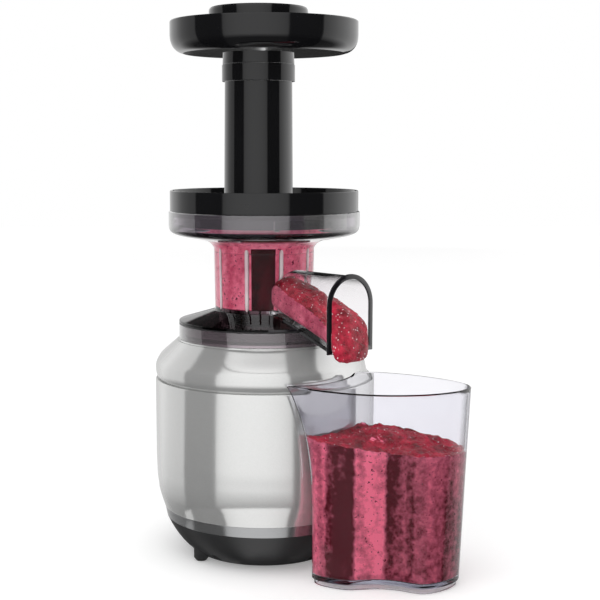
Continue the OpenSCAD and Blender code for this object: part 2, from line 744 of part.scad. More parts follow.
arch_z = chute_top - chute_r;                // centre of the chute's arch
root_t = 30;                                 // where the sloping floor starts
floor_slope = atan((root_z - lip_z) / (chute_reach - root_t));

// Upright arch section, run along the chute from t0 to t1
module arch_run(r, z_low, t0, t1) translate([t0, 0, 0]) rotate([90, 0, 90]) linear_extrude(t1 - t0) {
  translate([0, arch_z]) circle(r);
  translate([-r, z_low]) square([2 * r, arch_z - z_low]);
}

// Everything above the chute's sloping floor, lowered by drop
module above_floor(drop) translate([root_t, 0, root_z - drop]) rotate([0, floor_slope, 0])
  translate([-60, -60, 0]) cube([200, 120, 120]);

module chute_solid() on_chute() intersection() {
  arch_run(chute_r, lip_z - 20, root_t, chute_reach);
  above_floor(chute_wall / cos(floor_slope));
}

// Rolled lip along the end of the chute's floor
module chute_lip() on_chute() translate([chute_reach, 0, lip_z - chute_wall / 2]) rotate([90, 0, 0])
  cylinder(h = 2 * chute_r - 1, r = 1.5, center = true);

// Hollow of the chute, from inside the neck out past the mouth
module chute_hollow(r, t0, t1) on_chute() intersection() {
  arch_run(r, lip_z - 30, t0, t1);
  above_floor(0);
}

module press_chamber() color(smoke) difference() {
  union() {
    rotate_extrude() polygon(chamber_profile);
    around(neck_ribs, chute_heading + 180 / neck_ribs) translate([neck_r - 0.9, 0, 0])
      disc(1.1, neck_foot - 0.5, neck_top + 1);
    difference() {
      union() {
        chute_solid();
        chute_lip();
      }
      disc(neck_in, neck_foot - 30, neck_top);
      disc(collar_r + fixed_gap, bowl_foot - 10, skirt_foot);
    }
    for (i = [0 : bayonets - 1]) let (a = lug_heading + 360 * i / bayonets) {
      ring_arc(ring_in + 0.3, ledge_r, ledge_z, ledge_z + 2.5, a - 43, a - 9);
      ring_arc(ring_in + 0.3, ledge_r, ledge_z - 3.5, ledge_z + 3.4, a - 46, a - 43);
    }
  }
  chute_hollow(chute_r - chute_wall, 4, chute_reach + 20);
}

lug_heading = -38;                           // first bayonet lug, from +X
spigot_r = ring_in - 3.2;                    // lid's spigot inside the ring
ledge_r = spigot_r + 0.5;
ledge_z = ring_top - 7.5;

// ---------- strainer ----------

strainer_floor = chimney_top + 1.4;
socket_top_r = drive_r + 3;
window_r = chute_r - chute_wall - 2.6;

module strainer() color(steel) difference() {
  union() {
    tube(strainer_r, strainer_r - strainer_wall, strainer_floor, strainer_seat + 1.8);
    disc(strainer_r, strainer_floor, strainer_floor + 1.8);
    tube(flange_r - fixed_gap, strainer_r - strainer_wall, strainer_seat, strainer_seat + 1.8);
    // frame of the outlet window, reaching to the neck's wall
    intersection() {
      chute_hollow(window_r + 2, 20, 40);
      disc(neck_in - 1.2, neck_foot, neck_top);
    }
  }
  chute_hollow(window_r, 4, 60);
  disc(strainer_r - strainer_wall, strainer_floor + 1.8, strainer_seat + 5);
  disc(socket_top_r + slide_gap, strainer_floor - 1, strainer_floor + 3);
  // pressing slots, left out where the window is
  for (i = [0 : slots - 1]) let (a = chute_heading + 360 * i / slots)
    if (i * 360 / slots > 44 && i * 360 / slots < 316)
      rotate([0, 0, a]) for (row = [0, 1])
        translate([strainer_r - 4, -slot_w / 2, strainer_floor + 5 + row * slot_run])
          cube([8, slot_w, slot_run - 4]);
}

slot_run = (strainer_seat - strainer_floor - 6) / 2;

// Toothed foot ring that carries the strainer over the juice channel
module strainer_foot() color(black) difference() {
  union() {
    tube(strainer_r + 2, strainer_r + slide_gap, bowl_floor + floor_t, strainer_floor + 8);
    tube(strainer_r + 2, strainer_r - 4, bowl_floor + floor_t, strainer_floor);
    tube(collar_r - 8, strainer_r + 1, bowl_floor + floor_t + 3, bowl_floor + floor_t + 5);
    around(36) translate([collar_r - 11, -1.1, bowl_floor + floor_t]) cube([3, 2.2, 7]);
  }
  around(12) translate([strainer_r - 6, -3, bowl_floor + floor_t - 1]) cube([12, 6, 3]);
}

// ---------- auger ----------

auger_z = strainer_floor + 2.4;              // underside of the auger
press_h = strainer_seat - auger_z;           // pressing length
auger_top = ring_top - 8;
socket_h = hex_top - auger_z + 3;

// Blade section: one bar from the core to the outer radius
module blade_section(n, thick, r) for (i = [0 : n - 1]) rotate([0, 0, i * 360 / n])
  translate([6, -thick / 2]) square([r - 6, thick]);

module auger() color(cream) difference() {
  union() {
    rotate_extrude() polygon([[0, auger_z], [auger_r - 4, auger_z], [auger_r - 6, auger_z + 6],
                              [auger_r - 11, auger_z + press_h * 0.55], [auger_r - 14, auger_z + press_h],
                              [9, auger_top - 6], [6, auger_top - 2], [0, auger_top]]);
    intersection() {
      translate([0, 0, auger_z]) linear_extrude(press_h + 2, twist = -flight_turn, slices = 44, $fn = 8)
        blade_section(2, 5, auger_r + 1);
      disc(auger_r, auger_z, auger_top);
    }
    intersection() {
      translate([0, 0, auger_z]) rotate([0, 0, 45])
        linear_extrude(press_h * 0.45, twist = -flight_turn * 0.42, slices = 18, $fn = 8)
        blade_section(4, 3.4, auger_r + 1);
      disc(auger_r - 0.6, auger_z, auger_top);
    }
    // wide cutting blade that draws food out of the funnel
    intersection() {
      translate([0, 0, auger_z + press_h]) rotate([0, 0, flight_turn * 1.03])
        linear_extrude(auger_top - auger_z - press_h - 3, twist = -95, slices = 12, $fn = 8)
        translate([3, -2.5]) square([auger_r + 3, 5]);
      disc(auger_r + 2.4, strainer_seat + 3, auger_top);
    }
  }
  disc(socket_top_r, auger_z - 1, auger_z + socket_h);
  around(4) translate([socket_top_r - 0.5, -1.1, auger_z - 1]) cube([2, 2.2, socket_h + 1]);
}

// Metal insert that takes the drive shaft's hexagon, keyed into the auger
module auger_socket() color(steel) difference() {
  union() {
    disc(socket_top_r, auger_z, auger_z + socket_h);
    around(4) translate([socket_top_r - 1, -1.1, auger_z]) cube([2.3, 2.2, socket_h - 4]);
    disc(socket_top_r - 0.4, auger_z - 3.2, auger_z + 1);
  }
  hexagon(hex_af + 2 * slide_gap, auger_z - 4, hex_top + 1);
}

// ---------- drip stop ----------

module drip_stop() color(black) {
  translate([-spout_half + 0.2, spout_y - 10, drip_z - 2.2]) cube([2 * spout_half - 0.4, 8.6, 2]);
  translate([-spout_half + 3.2, spout_y - 2, drip_z - 2.2]) cube([2 * spout_half - 6.4, 4, 2]);
  translate([0, drip_y, drip_z]) rotate([0, 90, 0]) {
    cylinder(h = 2 * spout_half - 6.4, r = 2.2, center = true);
    cylinder(h = 2 * spout_half, r = 1.2, center = true);
  }
  translate([-4, drip_y, drip_z - 1.2]) cube([8, 7, 2]);
}

module drip_seal() color(rubber) translate([-spout_half + 1, spout_y - 9.6, drip_z - 0.2])
  cube([2 * spout_half - 2, 8, 1.2 - slide_gap]);

// ---------- lid, feed tube, tray and pusher ----------

lid_z = ring_top + slide_gap;
lid_top = lid_z + lid_h;
deck_z = lid_z + 5.2;                        // underside of the lid's sunken deck
deck_t = 2.5;
tube_in = tube_r - tube_wall;
tube_foot_r = tube_r + 0.6;

module lid() color(black) difference() {
  union() {
    rotate_extrude() polygon([[spigot_r - 2.4, ledge_z - 3.2], [spigot_r, ledge_z - 3.2],
      [spigot_r, lid_z], [lid_r - 0.3, lid_z], [lid_r, lid_z + 0.4], [lid_r, lid_top - 1],
      [lid_r - 0.9, lid_top], [lid_r - 2.2, lid_top], [lid_r - 2.8, lid_top - 0.8],
      [lid_r - 3, deck_z + deck_t + 1], [lid_r - 4, deck_z + deck_t], [0, deck_z + deck_t],
      [0, deck_z], [spigot_r - 2.4, deck_z]]);
    around(bayonets, lug_heading) ring_arc(spigot_r + 2.4, spigot_r - 1, ledge_z - 3.2, ledge_z - 0.5, -6, 6);
    on_feed_axis() disc(tube_foot_r + 3.4, deck_z - 1.5, deck_z + deck_t);
  }
  on_feed_axis() disc(tube_r - 0.6, deck_z - 3, lid_top);
  // open-mark triangle pressed into the rim at the front
  rotate([0, 0, -100]) translate([lid_r - 0.35, 0, lid_z + 4]) rotate([90, 0, 90]) linear_extrude(2)
    difference() {
      polygon([[-2.4, 4], [2.4, 4], [0, 0]]);
      polygon([[-1.5, 3.5], [1.5, 3.5], [0, 1]]);
    }
}

module lid_gasket() color(rubber) tube(ring_in - slide_gap, spigot_r, ring_top - 3.4, ring_top - 0.8);

module feed_tube() color(black) on_feed_axis() difference() {
  union() {
    disc(tube_r - 0.6 - fixed_gap, deck_z - 4, deck_z + deck_t);
    disc(tube_foot_r + 1.6, deck_z + deck_t, deck_z + deck_t + 2.4);
    translate([0, 0, deck_z + deck_t]) cylinder(h = socket_z - deck_z - deck_t, r1 = tube_foot_r, r2 = tube_r);
    disc(socket_r, socket_z, socket_top);
    disc(tube_r - 0.4, socket_z, socket_top + 9);
  }
  disc(tube_in, deck_z - 5, socket_top + 10);
}

socket_top = socket_z + 12;
sleeve_in = tube_r - 0.4 + slide_gap;

module hopper_tray() color(black) difference() {
  union() {
    rotate_extrude() polygon([[0, tray_z], [tray_r - 9.6, tray_z], [tray_r - 5.6, tray_z + 1.4],
      [tray_r - 2.4, tray_z + 4.4], [tray_r - 0.6, tray_z + 8.4], [tray_r, tray_z + 12.5],
      [tray_r, tray_z + tray_h - 1], [tray_r - 0.8, tray_z + tray_h],
      [tray_r - 2, tray_z + tray_h], [tray_r - 2.8, tray_z + tray_h - 1],
      [tray_r - 2.9, tray_z + 12.5], [tray_r - 3.6, tray_z + 9.4], [tray_r - 5.2, tray_z + 6.4],
      [tray_r - 7.6, tray_z + 4.1], [tray_r - 10.6, tray_z + 3], [0, tray_z + 3]]);
    on_feed_axis() disc(socket_r - 0.4, socket_top + slide_gap, tray_z + 1);
  }
  on_feed_axis() disc(sleeve_in, socket_top - 1, socket_top + 9 + slide_gap);
  on_feed_axis() disc(tube_in, socket_top, tray_z + 10);
}

stem_r = tube_in - slide_gap;
knob_z = tray_z + 3 + slide_gap;

module pusher_stem() color(black) on_feed_axis() difference() {
  disc(stem_r, tray_z - stem_len, knob_z + 1.6);
  disc(stem_r - 2, tray_z - stem_len + 2.4, knob_z + 2);
  translate([0, 0, tray_z - stem_len - 1]) around(6, 30) translate([stem_r * 0.55, 0, 0]) disc(3, 0, 1.8);
}

module pusher_knob() color(black) on_feed_axis() rotate_extrude()
  polygon([[stem_r, knob_z], [knob_r - 1, knob_z], [knob_r, knob_z + 1], [knob_r, knob_z + knob_h - 3.6],
           [knob_r - 0.8, knob_z + knob_h - 1.6], [knob_r - 3, knob_z + knob_h - 0.4],
           [knob_r - 6, knob_z + knob_h], [0, knob_z + knob_h], [0, knob_z + knob_h - 2.6],
           [knob_r - 4, knob_z + knob_h - 2.8], [knob_r - 2.6, knob_z + knob_h - 4.4],
           [knob_r - 2.6, knob_z + 2.4], [stem_r, knob_z + 2.4]]);

// ---------- jug ----------

// Outline at the foot, counter-clockwise from the spout, seen from above
jug_low = [[33, -92], [39, -101], [54, -109], [66, -108.5], [78, -107.5], [90, -110.5], [99, -115.5],
           [108, -117.5], [119, -112.5], [129, -103], [134, -92], [132, -76], [124, -64], [112, -56],
           [99, -52], [86, -52.5], [75, -56], [66.5, -61.5], [59, -67.5], [46, -78.2], [36, -85]];
// Outline at the rim: x, y, height of the rim, and how late the wall leans out to it
jug_rim = [[15.5, -91, 137, 4], [26, -95, 136.4, 3], [40, -103.5, 136, 1.6], [56, -112.6, 136, 1.4],
           [70, -117.4, 136, 1.4], [84, -119.3, 136, 1.4], [98, -118.5, 136, 1.2],
           [111, -115.5, 136, 1], [123, -109.6, 136, 1], [133, -101.6, 136, 1], [140.5, -89, 136, 1],
           [140, -77, 136.1, 1], [131.5, -65, 136.5, 1], [118.5, -56, 137.2, 1], [104, -50.4, 138.1, 1],
           [90, -49.4, 139.2, 1], [77, -52, 140.4, 1], [64, -61.8, 141.8, 1], [58, -67.9, 139.4, 1],
           [45.5, -78.9, 137.6, 1], [30, -86.2, 137, 2]];
jug_levels = [0, 0.16, 0.36, 0.56, 0.74, 0.88, 1];
jug_steps = 3;         // spline steps between outline points

function spline(a, b, c, d, t) =
  0.5 * (2 * b + (c - a) * t + (2 * a - 5 * b + 4 * c - d) * t * t + (3 * b - a - 3 * c + d) * t * t * t);

function pick(list, i) = list[(i + len(list)) % len(list)];

function smooth_loop(list) = [for (i = [0 : len(list) - 1], k = [0 : jug_steps - 1])
  spline(pick(list, i - 1), pick(list, i), pick(list, i + 1), pick(list, i + 2), k / jug_steps)];

// Points of the jug's outside at level t, from 0 at the foot to 1 at the rim
function jug_ring(t) = smooth_loop([for (i = [0 : len(jug_low) - 1])
  let (rim = jug_rim[i], lean = pow(t, rim[3]))
  [jug_low[i][0] + (rim[0] - jug_low[i][0]) * lean, jug_low[i][1] + (rim[1] - jug_low[i][1]) * lean,
   jug_foot + (rim[2] - jug_foot) * t]]);

// The same ring moved inwards by d, and by less near the spout's tip, where the rim's lip is thin
function inset_ring(ring, d, lip = 0) = [for (i = [0 : len(ring) - 1])
  let (v = pick(ring, i + 1) - pick(ring, i - 1), n = norm([v[0], v[1]]),
       from_tip = min(i, len(ring) - i), wall = d * (1 - lip * max(0, 1 - from_tip / 4)))
  [ring[i][0] - v[1] / n * wall, ring[i][1] + v[0] / n * wall, ring[i][2]]];

function at_height(ring, z) = [for (p = ring) [p[0], p[1], z]];

// The jug's skin runs down and up the foot, up the outside, over the rim and down to the inner floor
foot_inset = 1.8;      // the foot stands in from the wall
jug_beside = 79.6;     // base radius that the outlines stand beside
jug_recess = inset_ring(jug_ring(0), foot_inset + jug_wall);
jug_foot_side = inset_ring(jug_ring(0), foot_inset);
jug_foot_rings = [at_height(jug_recess, jug_foot), at_height(jug_recess, 0),
                  at_height(jug_foot_side, 0), at_height(jug_foot_side, jug_foot - 0.5)];
jug_outside = [for (t = jug_levels) jug_ring(t)];
jug_inside = [for (k = [len(jug_levels) - 1 : -1 : 1])
  let (t = jug_levels[k]) inset_ring(jug_ring(t), jug_wall, 0.7 * t * t)];
jug_inner_floor = at_height(inset_ring(jug_ring(0), jug_wall), jug_foot + jug_floor);

module jug() color(clear)
  translate((base_r - jug_beside) * [cos(chute_heading), sin(chute_heading), 0])
    loft(concat(jug_foot_rings, jug_outside, jug_inside, [jug_inner_floor]));

base_pan();
rubber_feet();
pan_screws();
trim_band();
body_shell();
shoulder_cap();
cord_gland();
switch_bezel();
switch_rocker();
switch_body();
control_board();
run_capacitor();
motor_damper();
lower_bracket();
upper_bracket();
motor_bearings();
stator_core();
stator_windings();
motor_bolts();
rotor_core();
motor_shaft();
cooling_fan();
gearbox_case();
gearbox_lid();
gearbox_screws();
layshaft_pin();
layshaft_gear();
drive_gear();
drive_shaft();
drive_bushes();
drive_seal();
juice_bowl();
bowl_gasket();
bowl_seal();
press_chamber();
strainer();
strainer_foot();
auger();
auger_socket();
drip_stop();
drip_seal();
lid();
lid_gasket();
feed_tube();
hopper_tray();
pusher_stem();
pusher_knob();
jug();
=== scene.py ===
import math

import bmesh
import bpy
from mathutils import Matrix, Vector, noise


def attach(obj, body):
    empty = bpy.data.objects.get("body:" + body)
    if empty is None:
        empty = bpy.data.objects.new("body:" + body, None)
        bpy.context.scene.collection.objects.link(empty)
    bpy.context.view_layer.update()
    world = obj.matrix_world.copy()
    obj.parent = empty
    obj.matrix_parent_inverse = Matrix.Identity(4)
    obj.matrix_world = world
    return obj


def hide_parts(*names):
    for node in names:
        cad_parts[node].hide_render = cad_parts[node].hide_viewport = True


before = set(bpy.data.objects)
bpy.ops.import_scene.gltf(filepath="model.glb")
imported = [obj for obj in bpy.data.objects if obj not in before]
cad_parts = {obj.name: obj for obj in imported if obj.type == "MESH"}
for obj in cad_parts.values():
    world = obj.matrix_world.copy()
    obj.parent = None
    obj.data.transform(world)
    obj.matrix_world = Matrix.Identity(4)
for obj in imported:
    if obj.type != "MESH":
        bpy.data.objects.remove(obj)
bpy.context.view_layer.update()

# ---------- studio ----------
# A camera at standing distance, a big softbox in front with dark gaps beside it, and light all
# round the back. The floor is plain and pale, and carries the machine's shadow.


def placed(name, data):
    """A new object in the scene."""
    thing = bpy.data.objects.new(name, data)
    bpy.context.scene.collection.objects.link(thing)
    return thing


camera = placed("camera", bpy.data.cameras.new("camera"))
camera.location = (0, -0.975, 0.298)
camera.rotation_euler = (math.radians(83.4), 0, 0)
camera.data.lens = 79.5
camera.data.sensor_width = 36
camera.data.shift_x = 0.06
bpy.context.scene.camera = camera
bpy.context.scene.view_settings.view_transform = "Standard"


def give(socket, value):
    """Fills in an input with a plain value, or joins a node's output to it."""
    if isinstance(value, bpy.types.NodeSocket):
        socket.id_data.links.new(value, socket)
    else:
        socket.default_value = value


def feed(made, **values):
    """Fills in a node's inputs, and its settings where a name has no capital."""
    for name, value in values.items():
        if name.islower():
            setattr(made, name, value)
        else:
            give(made.inputs[name.replace("_", " ")], value)


def node(owner, kind, **values):
    """A node of that kind with its settings and inputs."""
    tree = getattr(owner, "node_tree", owner)
    made = tree.nodes.new(kind if "Node" in kind else "ShaderNode" + kind)
    feed(made, **values)
    return made


def maths(owner, operation, *values):
    """One sum of numbers or sockets."""
    made = node(owner, "Math", operation=operation)
    for socket, value in zip(made.inputs, values):
        give(socket, value)
    return made.outputs[0]


def seen_by(owner, *rays):
    """1 for camera rays and for these other kinds, and 0 for the rest."""
    path = node(owner, "LightPath")
    share = path.outputs["Is Camera Ray"]
    for ray in rays:
        share = maths(owner, "MAXIMUM", share, path.outputs[f"Is {ray} Ray"])
    return share


def ranged(owner, value, low, high, start=0.0, end=1.0):
    """A value that runs from low to high while another runs from start to end."""
    made = node(owner, "MapRange", Value=value, To_Min=low, To_Max=high, From_Min=start, From_Max=end)
    return made.outputs[0]


def ramp(owner, factor, *stops):
    """Colours or greys blended along a factor, each stop a place and a colour."""
    made = node(owner, "ValToRGB", Fac=factor)
    while len(made.color_ramp.elements) < len(stops):
        made.color_ramp.elements.new(0.5)
    for element, (place, colour) in zip(made.color_ramp.elements, stops):
        element.position = place
        grey = isinstance(colour, (int, float))
        element.color = (colour, colour, colour, 1) if grey else (*colour, 1)
    return made.outputs[0]


studio = bpy.data.worlds.new("studio")
studio.use_nodes = True
bpy.context.scene.world = studio
feed(studio.node_tree.nodes["Background"], Color=(1, 1, 1, 1),
     Strength=ranged(studio, seen_by(studio, "Glossy", "Transmission"), 0.85, 1.0))


def new_finish(name, **fixed):
    """A finish with a shader, its plain values set on it, and the piece's own coordinates."""
    finish = bpy.data.materials.new(name)
    finish.use_nodes = True
    shader = finish.node_tree.nodes["Principled BSDF"]
    feed(shader, **fixed)
    place = node(finish, "TexCoord").outputs["Object"]
    return finish, shader, place


def mesh_of(name, shape):
    """A mesh from a mesh kit, which is used up."""
    mesh = bpy.data.meshes.new(name)
    shape.to_mesh(mesh)
    shape.free()
    return mesh


SOFTBOX = 1.6
CEILING = (1.32, 1.5)


def softboxes(name, shape, centre, low=(), reach=0.0):
    """A backdrop that only reflections see: a front softbox between dark gaps, sides and a dark back.

    Low is where its light ends towards the floor, and above it the ceiling goes dark between two slopes.
    Reach is how near a piece must stand to see it at all.
    """
    finish, _, place = new_finish(name)
    finish.cycles.emission_sampling = "NONE"
    away = node(finish, "VectorMath", operation="SUBTRACT", Vector=place)
    give(away.inputs[1], centre)
    heading = node(finish, "VectorMath", operation="NORMALIZE", Vector=away.outputs[0])
    split = node(finish, "SeparateXYZ", Vector=heading.outputs[0])
    arched = maths(finish, "SUBTRACT", 1.0, split.outputs["Y"])
    turn = maths(finish, "MULTIPLY_ADD", maths(finish, "ARCTAN2", split.outputs["X"], arched),
                 1 / math.pi, 0.5)
    light = ramp(finish, turn, (0.0, 0.02), (0.012, 0.02), (0.02, 0.48), (0.076, 0.62), (0.135, 0.67),
                 (0.176, 0.48), (0.219, 0.39), (0.2495, 0.37), (0.253, 0.032), (0.359, 0.032), (0.361, 0.44),
                 (0.378, 0.6), (0.41, 0.69), (0.45, 0.72), (0.5, 0.71), (0.54, 0.65), (0.565, 0.57),
                 (0.581, 0.47), (0.5835, 0.032), (0.706, 0.032), (0.711, 0.54), (0.75, 0.75), (0.779, 0.88),
                 (0.812, 0.92), (0.852, 0.88), (0.904, 0.7), (0.955, 0.56), (0.965, 0.02))
    glow = node(finish, "Emission", Color=light, Strength=SOFTBOX)
    if low:
        rise = maths(finish, "MULTIPLY_ADD", split.outputs["Z"], 0.5, 0.5)
        share = ramp(finish, rise, (low[0], 0.1), (low[1], 1.0))
        sideways = node(finish, "CombineXYZ", X=split.outputs["X"], Y=arched)
        spread = node(finish, "VectorMath", operation="LENGTH", Vector=sideways.outputs[0]).outputs["Value"]
        steep = maths(finish, "DIVIDE", split.outputs["Z"], maths(finish, "ADD", spread, 0.001))
        ceiling = ranged(finish, steep, SOFTBOX, 0.1, *CEILING)
        feed(glow, Strength=maths(finish, "MULTIPLY", share, ceiling))
    if reach:
        near = maths(finish, "LESS_THAN", node(finish, "LightPath").outputs["Ray Length"], reach)
        feed(glow, Strength=maths(finish, "MULTIPLY", near, SOFTBOX))
    feed(finish.node_tree.nodes["Material Output"], Surface=glow.outputs[0])
    mesh = mesh_of(name, shape)
    mesh.materials.append(finish)
    card = placed(name, mesh)
    for ray in ("camera", "diffuse", "transmission", "volume_scatter", "shadow"):
        setattr(card, "visible_" + ray, False)


dome = bmesh.new()
bmesh.ops.create_uvsphere(dome, u_segments=48, v_segments=24, radius=3)
softboxes("softbox_dome", dome, (0, 0, 0.2), low=(0.2, 0.35))
fan = bmesh.new()
FAN_CENTRE = Vector((0.0015, -0.052, -0.006))
fan_turns = [math.radians(a) for a in range(-100, 81, 6)]
inner, outer = [[fan.verts.new(FAN_CENTRE + r * Vector((math.sin(a), -math.cos(a), 0))) for a in fan_turns]
                for r in (0.02, 0.122)]
for k in range(len(fan_turns) - 1):
    fan.faces.new((inner[k], inner[k + 1], outer[k + 1], outer[k]))
softboxes("softbox_foot", fan, FAN_CENTRE, reach=0.13)

floor_paper, paper, _ = new_finish("floor_paper", Base_Color=(0.86, 0.86, 0.86, 1), Roughness=0.9,
                                   Emission_Color=(1, 1, 1, 1))
feed(paper, Emission_Strength=maths(floor_paper, "MULTIPLY", seen_by(floor_paper, "Transmission"), 0.27))

floor_mesh = bpy.data.meshes.new("floor")
floor_mesh.from_pydata([(-4, -4, -0.0004), (4, -4, -0.0004), (4, 4, -0.0004), (-4, 4, -0.0004)], [],
                       [(0, 1, 2, 3)])
floor = placed("floor", floor_mesh)
floor.data.materials.append(floor_paper)
floor.visible_glossy = False

overhead = placed("overhead", bpy.data.lights.new("overhead", "AREA"))
overhead.location = (-0.35, -0.5, 1.25)
overhead.rotation_euler = (math.radians(24), math.radians(-15), 0)
overhead.data.size = 0.9
overhead.data.energy = 5
overhead.visible_glossy = False

# ---------- pan, feet and pan screws ----------
# The pan is one moulding in matte black plastic with a fine sparked grain. Four rubber feet are
# pushed into its bosses, and four steel screws run up through it into the shell's towers.

MM = 0.001


def speckle(finish, place, scale, detail=2.0, rough=0.5):
    """A soft noise, so many to a metre and so fine."""
    return node(finish, "TexNoise", Vector=place, Scale=float(scale), Detail=detail,
                Roughness=rough).outputs["Fac"]


def skinned(finish, shader, colour, gloss, rough, height, depth, strength=1.0):
    """The finish with a colour, a roughness that follows a gloss, and a relief so many metres deep."""
    bump = node(finish, "Bump", Height=height, Distance=depth, Strength=strength)
    feed(shader, Base_Color=colour, Roughness=ranged(finish, gloss, *rough), Normal=bump.outputs[0])
    return finish


def moulded(name, colour, roughness, grain=1500, depth=0.00004, cloud=0.12, **fixed):
    """Moulded plastic or rubber: a little cloud in the colour and gloss, and the tool's grain."""
    finish, shader, place = new_finish(name, **fixed)
    drift = speckle(finish, place, 38, 3.0)
    shade = ramp(finish, drift, *[(stop, [c * share for c in colour])
                                  for stop, share in ((0.3, 1 - cloud), (0.7, 1 + cloud))])
    return skinned(finish, shader, shade, drift, (roughness * 0.85, roughness * 1.15),
                   speckle(finish, place, grain), depth)


def turned_metal(name, colour, roughness, lines=2600, across=90, **fixed):
    """Machined metal: fine rings left by the tool, running round the vertical axis."""
    finish, shader, place = new_finish(name, Metallic=1.0, **fixed)
    stretched = node(finish, "Mapping", Vector=place, Scale=(across, across, lines))
    marks = speckle(finish, stretched.outputs[0], 1, 3.0)
    shade = ramp(finish, marks, (0.35, [c * 0.86 for c in colour]), (0.65, colour))
    return skinned(finish, shader, shade, marks, (roughness * 0.8, roughness * 1.3), marks, 0.00002, 0.5)


def paint(finish, *solids):
    """Gives solids that keep their own shape their finish."""
    for solid in solids:
        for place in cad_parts[solid].material_slots:
            place.material = finish


def new_piece(name, shape, finish, crease=32):
    """An object from a mesh kit, its doubles merged, its faces turned outwards and its edges eased."""
    bmesh.ops.remove_doubles(shape, verts=shape.verts, dist=2e-7)
    bmesh.ops.dissolve_degenerate(shape, edges=shape.edges, dist=1e-7)
    bmesh.ops.recalc_face_normals(shape, faces=shape.faces)
    for face in shape.faces:
        face.smooth = True
    mesh = mesh_of(name, shape)
    mesh.set_sharp_from_angle(angle=math.radians(crease))
    mesh.materials.append(finish)
    return placed(name, mesh)


def fit(piece, body, slot, *solids):
    """Sets a piece on its body, in the place of its solids."""
    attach(piece, body)
    if solids:
        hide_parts(*solids)


def smoothed(name, solid, finish, body, slot, crease=24):
    """A merged copy of a solid with its curves shaded smooth, in that solid's place."""
    shape = bmesh.new()
    shape.from_mesh(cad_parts[solid].data)
    bmesh.ops.remove_doubles(shape, verts=shape.verts, dist=2e-6)
    for face in shape.faces:
        face.material_index = 0
    piece = new_piece(name, shape, finish, crease)
    fit(piece, body, slot, solid)
    return piece


matte_black = moulded("matte_black", (0.02, 0.02, 0.021), 0.5, grain=1100, depth=0.00006)
foot_rubber = moulded("foot_rubber", (0.028, 0.028, 0.028), 0.78, grain=900, depth=0.00005)
screw_steel = turned_metal("screw_steel", (0.6, 0.6, 0.62), 0.32)
smoothed("pan_moulding", "base_pan", matte_black, "base", "black_pan")
paint(foot_rubber, "rubber_feet")
paint(screw_steel, "pan_screws")

# ---------- motor ----------
# Dampers, two pressed steel brackets with their bearings, a laminated stator with end turns of
# enamelled copper wire, and a rotor on a ground shaft with a moulded fan under it.


def layered(name, colour, dark, ends, cloud, rough, depth, waves, **fixed):
    """Thin sheets or varnished wires side by side, with a dark line between each and the next."""
    finish, shader, place = new_finish(name, **fixed)
    lines = node(finish, "TexWave", Vector=place, **waves).outputs["Fac"]
    shade = ramp(finish, lines, (ends[0], [c * dark for c in colour]), (ends[1], colour))
    return skinned(finish, shader, shade, speckle(finish, place, *cloud), rough, lines, depth)


sheet_stack = layered("sheet_stack", (0.38, 0.39, 0.41), 0.45, (0.1, 0.45), (160, 4.0), (0.35, 0.6), 0.00006,
                      {"Scale": 320.0, "Distortion": 0.4, "bands_direction": "Z"}, Metallic=1.0)
copper_turns = layered("copper_turns", (0.72, 0.3, 0.12), 0.3, (0.05, 0.5), (120, 3.0), (0.25, 0.45), 0.0003,
                       {"Scale": 210.0, "Distortion": 2.2, "wave_type": "RINGS", "rings_direction": "Z"},
                       Metallic=0.85, Coat_Weight=0.6, Coat_Roughness=0.15)
bearing_steel = turned_metal("bearing_steel", (0.66, 0.66, 0.68), 0.2, lines=1800)
paint(foot_rubber, "motor_damper")
paint(turned_metal("plate_steel", (0.5, 0.5, 0.51), 0.4, lines=400, across=400), "lower_bracket",
      "upper_bracket")
paint(bearing_steel, "motor_bearings", "motor_shaft")
paint(screw_steel, "motor_bolts")
paint(sheet_stack, "stator_core", "rotor_core")
paint(copper_turns, "stator_windings")
paint(moulded("fan_plastic", (0.035, 0.035, 0.037), 0.42, grain=1300), "cooling_fan")

# ---------- gearbox ----------
# A cast alloy case and lid hold two stages of gears: a nylon layshaft gear on a steel pin, and the
# steel drive gear on the hexagon-ended drive shaft, which turns in sintered bronze bushes.


def cast_metal(name, colour):
    """Metal as it came from the die, with a faint orange-peel skin."""
    finish, shader, place = new_finish(name, Metallic=1.0)
    peel = speckle(finish, place, 420, 5.0, 0.65)
    shade = ramp(finish, peel, (0.3, [c * 0.75 for c in colour]), (0.7, colour))
    return skinned(finish, shader, shade, peel, (0.42, 0.62), peel, 0.00012)


gear_steel = turned_metal("gear_steel", (0.55, 0.55, 0.57), 0.28, lines=1500)
seal_rubber = moulded("seal_rubber", (0.018, 0.018, 0.018), 0.6, grain=1600, depth=0.00002)
paint(cast_metal("die_cast", (0.56, 0.57, 0.59)), "gearbox_case", "gearbox_lid")
paint(screw_steel, "gearbox_screws")
paint(bearing_steel, "layshaft_pin", "drive_shaft")
paint(moulded("gear_nylon", (0.8, 0.78, 0.7), 0.36, grain=700, cloud=0.05, Subsurface_Weight=0.08),
      "layshaft_gear")
paint(gear_steel, "drive_gear")
paint(cast_metal("bush_bronze", (0.6, 0.42, 0.19)), "drive_bushes")
paint(seal_rubber, "drive_seal")

# ---------- control board and run capacitor ----------
# The board stands in two guides of the pan: green solder mask over copper tracks. The capacitor
# beside it is a drawn aluminium can.


